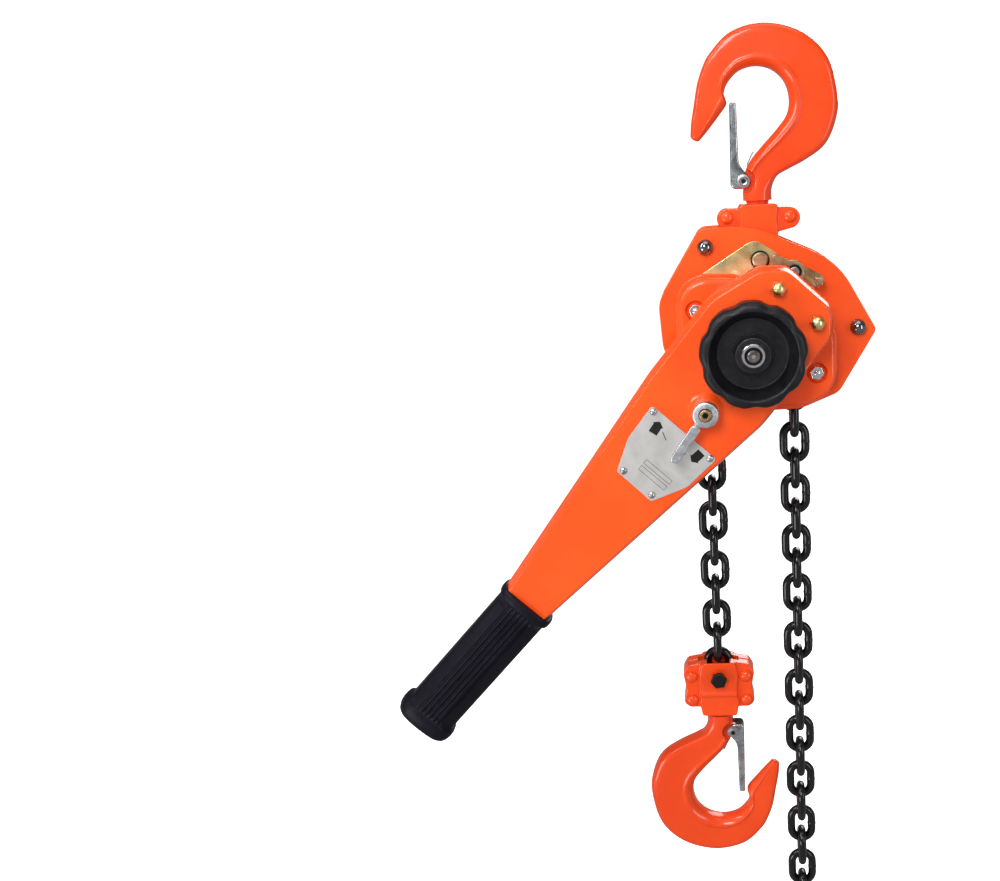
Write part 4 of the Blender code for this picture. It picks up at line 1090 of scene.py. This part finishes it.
def hook_mesh():
    """A forged hook from its head and neck round to its tip, with a bead beside the inner edge."""
    section = HOOK_SECTION + [(u, -v) for u, v in HOOK_SECTION[-2:0:-1]]
    rounds = []
    for u, v in section:
        angle = atan2(v, -u) if (u, v) != (1, 0) else pi
        rounds.append((-cos(angle), sin(angle)))
    rings = []
    head = [(12, -116), (12, -108.4), (8.5, -108.4), (8.5, -100.4), (9, -99.4), (10, -99)]
    for radius, z in head:
        rings.append([Vector((radius * u, radius * v, z)) for u, v in rounds])
    inner, outer, depths = zip(*HOOK_STATIONS)
    inner, outer = [Vector(point) for point in inner], [Vector(point) for point in outer]
    fine = 6  # rings to each station
    last = len(HOOK_STATIONS) - 1
    for step in range(last * fine + 1):
        t = step / fine
        first, second, depth = spline(inner, t), spline(outer, t), spline(depths, t)
        centre, half = (first + second) / 2, (second - first) / 2
        # Round at the neck, beaded along the bow, and nearly round again at the tip
        shape = unit((t - 0.4) / 2.2)
        shape = shape * shape * (3 - 2 * shape)
        shape *= 1 - 0.8 * unit((t - last + 3) / 3)
        ring = []
        for (u, v), (ru, rv) in zip(section, rounds):
            across = centre + half * (u * shape + ru * (1 - shape))
            ring.append(Vector((across.x, depth * (v * shape + rv * (1 - shape)), across.y)))
        rings.append(ring)
    end, nose = rings[-1], 2.6
    middle = sum(end, Vector()) / len(end)
    before = sum(rings[-2], Vector()) / len(end)
    way = (middle - before).normalized()
    for k in range(1, 5):
        angle = pi / 2 * k / 5
        ahead = middle + way * nose * sin(angle)
        rings.append([ahead + (point - middle) * cos(angle) for point in end])
    return loft(rings)


def build_hook(name, place, swivel, latch_body):
    """A hook with its latch, and the latch's pin and spring, at place."""

    def disc(radius, front, back, edge=0, points=40):
        return plate(circle(*LATCH, radius, points), front, back, edge)

    lug, bore = disc(5, -4.6, -0.6, 0.3), disc(2.5, -9, 9, points=24)
    # Room beside the lug for the latch's cheeks
    rear, front = disc(9.3, -0.6, 20), disc(9.3, -20, -4.6)
    hook = carved(joined(hook_mesh(), lug), rear, front, bore)
    place_piece(f"{name}_hook_forged", moved(hook, place), FORGED, swivel, f"{name}_hook")

    corners = [
        (-19.6, -25.6, 1.6), (-14.4, -25.6, 1.6), (-13.8, -71.5, 14), (-7.4, -79.5, 5),
        (-5.2, -90.2, 6), (-20.4, -89.8, 4),
    ]
    cavity = [(-18.2, -20), (-19, -95), (10, -95), (10, -20)]
    latch = carved(
        plate(rounded(corners), -6.9, 6.9, 1.5),
        plate(cavity, -5.6, 5.6, 0.9),
        disc(2.45, -9, 9, points=24),
    )
    latch = moved(latch, place)
    place_piece(f"{name}_latch_folded", latch, BRIGHT_ZINC, latch_body, f"{name}_latch")

    rows = [
        (1.9, -10.6), (2.9, -10.8), (3.4, -10.2), (3.6, -9.2), (4.9, -9), (5.3, -8.4), (5.2, -7.3),
        (2.3, -7.2), (2.3, 7.4), (3, 7.8), (3, 8.3), (1.9, 8.3),
    ]
    pin = moved(lathe(*LATCH, rows, 36), place)
    place_piece(f"{name}_latch_tube", pin, STEEL, swivel, f"{name}_latch_pin", sharp=25)
    core = disc(1.8, -10, 7.8, 0.2, 24)
    place_piece(f"{name}_latch_rivet", moved(core, place), BOLT_BLACK, swivel)
    coil = []
    turns, radius, sides = 2, 3.2, 24
    for i in range(turns * sides + 1):
        x, z = polar(*LATCH, radius, radians(100) - 2 * pi * i / sides)
        coil.append((x, 0.6 + 3.4 * i / (turns * sides), z))
    path = [(LATCH_X - 0.5, 0.6, LATCH_Z + 8.5), *coil]
    path += [(-7.2, 4, -77), (-6.6, 2.6, -71), (-3.6, 1.2, -64.6), (-2.2, 1, -62.6)]
    spring = moved(tube(path, 0.45, 8), place)
    place_piece(f"{name}_latch_coil", spring, STEEL, swivel, f"{name}_latch_spring")


def holder_cavity(place):
    """The room for a hook's neck and head, turned about its shank."""
    rows = [(0, 95), (8.8, 95), (8.8, 108.1), (12.3, 108.1), (12.3, 116.3), (0, 116.3)]
    return moved(lathe(0, 0, rows, 48), place @ Matrix.Rotation(-pi / 2, 4, "X"))


def build_halves(holder, place, shapes, cuts):
    """A holder's two castings, front and rear.

    A shape is (outline, outer y, inner y, edge radius), and a cut is (outline, half its depth).
    """
    for name, side in (("front", -1), ("rear", 1)):
        parts = []
        for outline, outer, inner, radius in shapes:
            parts.append(plate(outline, *sorted((side * outer, side * inner)), radius))
        half = forged(merged(parts))
        tools = [plate(outline, -depth, depth, 0) for outline, depth in cuts]
        half = carved(half, holder_cavity(place), *tools)
        place_piece(f"{holder}_{name}_cast", half, CAST_PAINT, holder, f"{holder}_{name}", sharp=50)


def build_rivets(holder, spots, drop, radius, height, half):
    """Rivets along Y with a round head on each side, lower than the CAD nodes by drop."""
    arc = quarter(radius, -half, -height)
    rows = [(0, -half - height), *arc[::-1], (radius, -half + 0.6), (2.6, -half + 0.6)]
    for spot in spots:
        node = f"{holder}_rivet_{spot}"
        x, z = centre_of(node)
        mesh = lathe(x, z - drop, rows + flipped(rows), 40)
        place_piece(f"{node}_painted", mesh, CAST_PAINT, holder, node)


def build_yoke():
    """The top hook's holder, which tilts on the yoke's pin."""
    boss = [(15.2, -101.6, 2.5), (14, -112, 14), (15, -124, 5), (10.8, -154, 10.4)]
    ears = [
        (-20, -104.4, 4), (20, -104.4, 4), (32.5, -105.4, 8), (31.5, -119.4, 8),
        (14, -123.5, 4), (-14, -123.5, 4), (-31.5, -117.6, 8), (-32.5, -103.6, 8),
    ]
    shapes = [
        (rounded(both_sides(boss)), HOLDER_HALF, SEAM, 1), (rounded(ears), 10.2, SEAM, 0.8),
    ]
    build_halves("yoke", Matrix(), shapes, [(circle(*PIN, PIN_HOLE), 20)])
    build_rivets("yoke", ("left", "right"), 0, 5, 3, 10.2)


def build_block():
    """The bottom block, its rivets and bolt, and the hook that hangs in it."""
    place = Matrix.Translation((LOAD_X, 0, BOTTOM_BEARING)) @ Matrix.Rotation(pi, 4, "Y")

    def at_bolt(outline):
        return [(LOAD_X + x, BOLT_Z + z) for x, z in outline]

    boss = [(14, 13, 4), (16.5, 2, 12), (15, -12, 10), (16.8, -24, 4)]
    boss += [(14.6, BLOCK_BOTTOM - BOLT_Z, 2.5)]
    ears = [(15, 12, 4), (26, 10.2, 5), (30.2, 3, 6), (27.6, -11.5, 6)]
    ears += [(30.6, -24, 6), (25, -28.4, 5)]
    crease = [(15.6, -13.6, 1.2), (15.6, -17.4, 1.2)]
    shapes = [
        (boss, HOLDER_HALF - 0.6, SEAM, 1.2), (ears, 10.4, SEAM, 1),
        (crease, HOLDER_HALF + 0.7, 8, 1.1),
    ]
    shapes = [(at_bolt(rounded(both_sides(half))), *rest) for half, *rest in shapes]
    slot, throat = rectangle(-17.4, 20, 17.4, -15.5), rectangle(-9.6, 20, 9.6, 7)
    cuts = [(at_bolt(slot), 4.3), (at_bolt(throat), 12.8), (circle(*BOLT, 4.5), 20)]
    build_halves("block", place, shapes, cuts)
    spots = ("upper_left", "upper_right", "lower_left", "lower_right")
    build_rivets("block", spots, 3.6, 5.2, 3.4, 10.4)
    shank = plate(circle(*BOLT, 3.9, 32), -18.2, 13.6, 0.4)
    head = plate(hexagon(*BOLT, 12, 0.67), -21.4, -16.6, 0.9)
    bolt = joined(shank, head, dome(*BOLT, 4.6, -0.5, -21.3))
    place_piece("anchor_bolt_black", bolt, BOLT_BLACK, "load_run", "anchor_bolt")
    build_hook("bottom", place, "bottom_swivel", "bottom_latch")


# ---- Materials of the CAD nodes that stay, light, floor and camera


def finish_cad_nodes():
    """Gives the CAD nodes that stay the look of their slot."""
    kinds = (STEEL, LINING, PAINT, BOLT_BLACK, RUBBER, WHEEL, ZINC, GOLD, ALLOY)
    looks = {look.slot: look for look in kinds}
    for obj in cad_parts.values():
        for holder in obj.material_slots:
            name = holder.material.name.split(".")[0] if holder.material else ""
            holder.material = looks.get(name, STEEL).material


def area_light(name, place, target, size, power):
    data = bpy.data.lights.new(name, "AREA")
    data.shape = "RECTANGLE"
    data.size, data.size_y = size
    data.energy = power
    obj = add_object(name, data)
    obj.location = place
    obj.rotation_euler = (Vector(target) - Vector(place)).to_track_quat("-Z", "Y").to_euler()


def build_studio():
    """A soft grey world, six lights, and a white floor and dome that throw no light."""
    world = bpy.data.worlds.new("studio")
    bpy.context.scene.world = world
    world.use_nodes = True
    tree = world.node_tree
    place = add_node(tree, "TexCoord").outputs["Generated"]
    split = add_node(tree, "SeparateXYZ", {"Vector": place})
    height = add_node(tree, "MapRange", {"From Min": -1, "Value": split.outputs["Z"]})
    ramp = add_node(tree, "ValToRGB", {"Fac": height.outputs["Result"]})
    greys = [(0, 0.3), (0.3, 0.38), (0.47, 0.34), (0.56, 0.2), (0.78, 0.12), (1, 0.3)]
    set_stops(ramp.color_ramp, [(position, (grey, grey, grey)) for position, grey in greys])
    tree.links.new(ramp.outputs["Color"], tree.nodes["Background"].inputs["Color"])

    middle = (0, 0, -0.3)
    area_light("key", (-0.45, -1.6, 0.7), middle, (0.6, 0.8), 20)
    area_light("fill", (1.2, -1.1, -0.1), middle, (0.4, 1.2), 7)
    area_light("strip", (-1, -0.5, 0.55), (-0.1, -0.05, -0.2), (0.22, 1.1), 8)
    area_light("low", (-1.1, -1, -0.8), (0, 0, -0.65), (0.6, 0.6), 8)
    area_light("top", (0.1, -0.3, 1.4), middle, (1.3, 1.1), 6)
    area_light("behind", (0.5, 1.5, 0.5), middle, (1, 1), 17)

    backdrop = bpy.data.materials.new("studio_white")
    backdrop.use_nodes = True
    sockets = backdrop.node_tree.nodes["Principled BSDF"].inputs
    sockets["Base Color"].default_value = (0.8, 0.8, 0.8, 1)
    sockets["Emission Color"].default_value = (1, 1, 1, 1)
    sockets["Emission Strength"].default_value = 1
    floor = bmesh.new()
    bmesh.ops.create_grid(floor, x_segments=8, y_segments=8, size=9)
    dome = bmesh.new()
    bmesh.ops.create_uvsphere(dome, u_segments=48, v_segments=24, radius=10)
    for name, bm, z in (("studio_floor", floor, cad_low.z - 0.004), ("studio_dome", dome, 0)):
        mesh = bpy.data.meshes.new(name)
        bm.to_mesh(mesh)
        bm.free()
        mesh.materials.append(backdrop)
        obj = add_object(name, mesh)
        obj.location.z = z
        obj.visible_diffuse = obj.visible_glossy = obj.visible_shadow = False


def build_camera():
    """The photograph's view, in metres."""
    data = bpy.data.cameras.new("camera")
    data.sensor_width = 36
    data.lens = 41.4
    data.shift_x = -0.14
    data.clip_end = 60
    obj = add_object("camera", data)
    right = Vector((0.99696, 0.06058, -0.04914))
    up = Vector((0.03361, 0.23493, 0.97143))
    forward = Vector((-0.07039, 0.97012, -0.23218))
    turn = Matrix((right, up, -forward)).transposed().to_4x4()
    obj.matrix_world = Matrix.Translation((-0.0342, -0.9129, -0.0686)) @ turn
    bpy.context.scene.camera = obj
    bpy.context.scene.view_settings.view_transform = "Standard"


finish_cad_nodes()
build_camera()
build_frame()
build_brake()
build_lever()
build_selector()
build_wheel()
build_chain()
build_yoke()
build_hook("top", Matrix(), "top_swivel", "top_latch")
build_block()
build_studio()
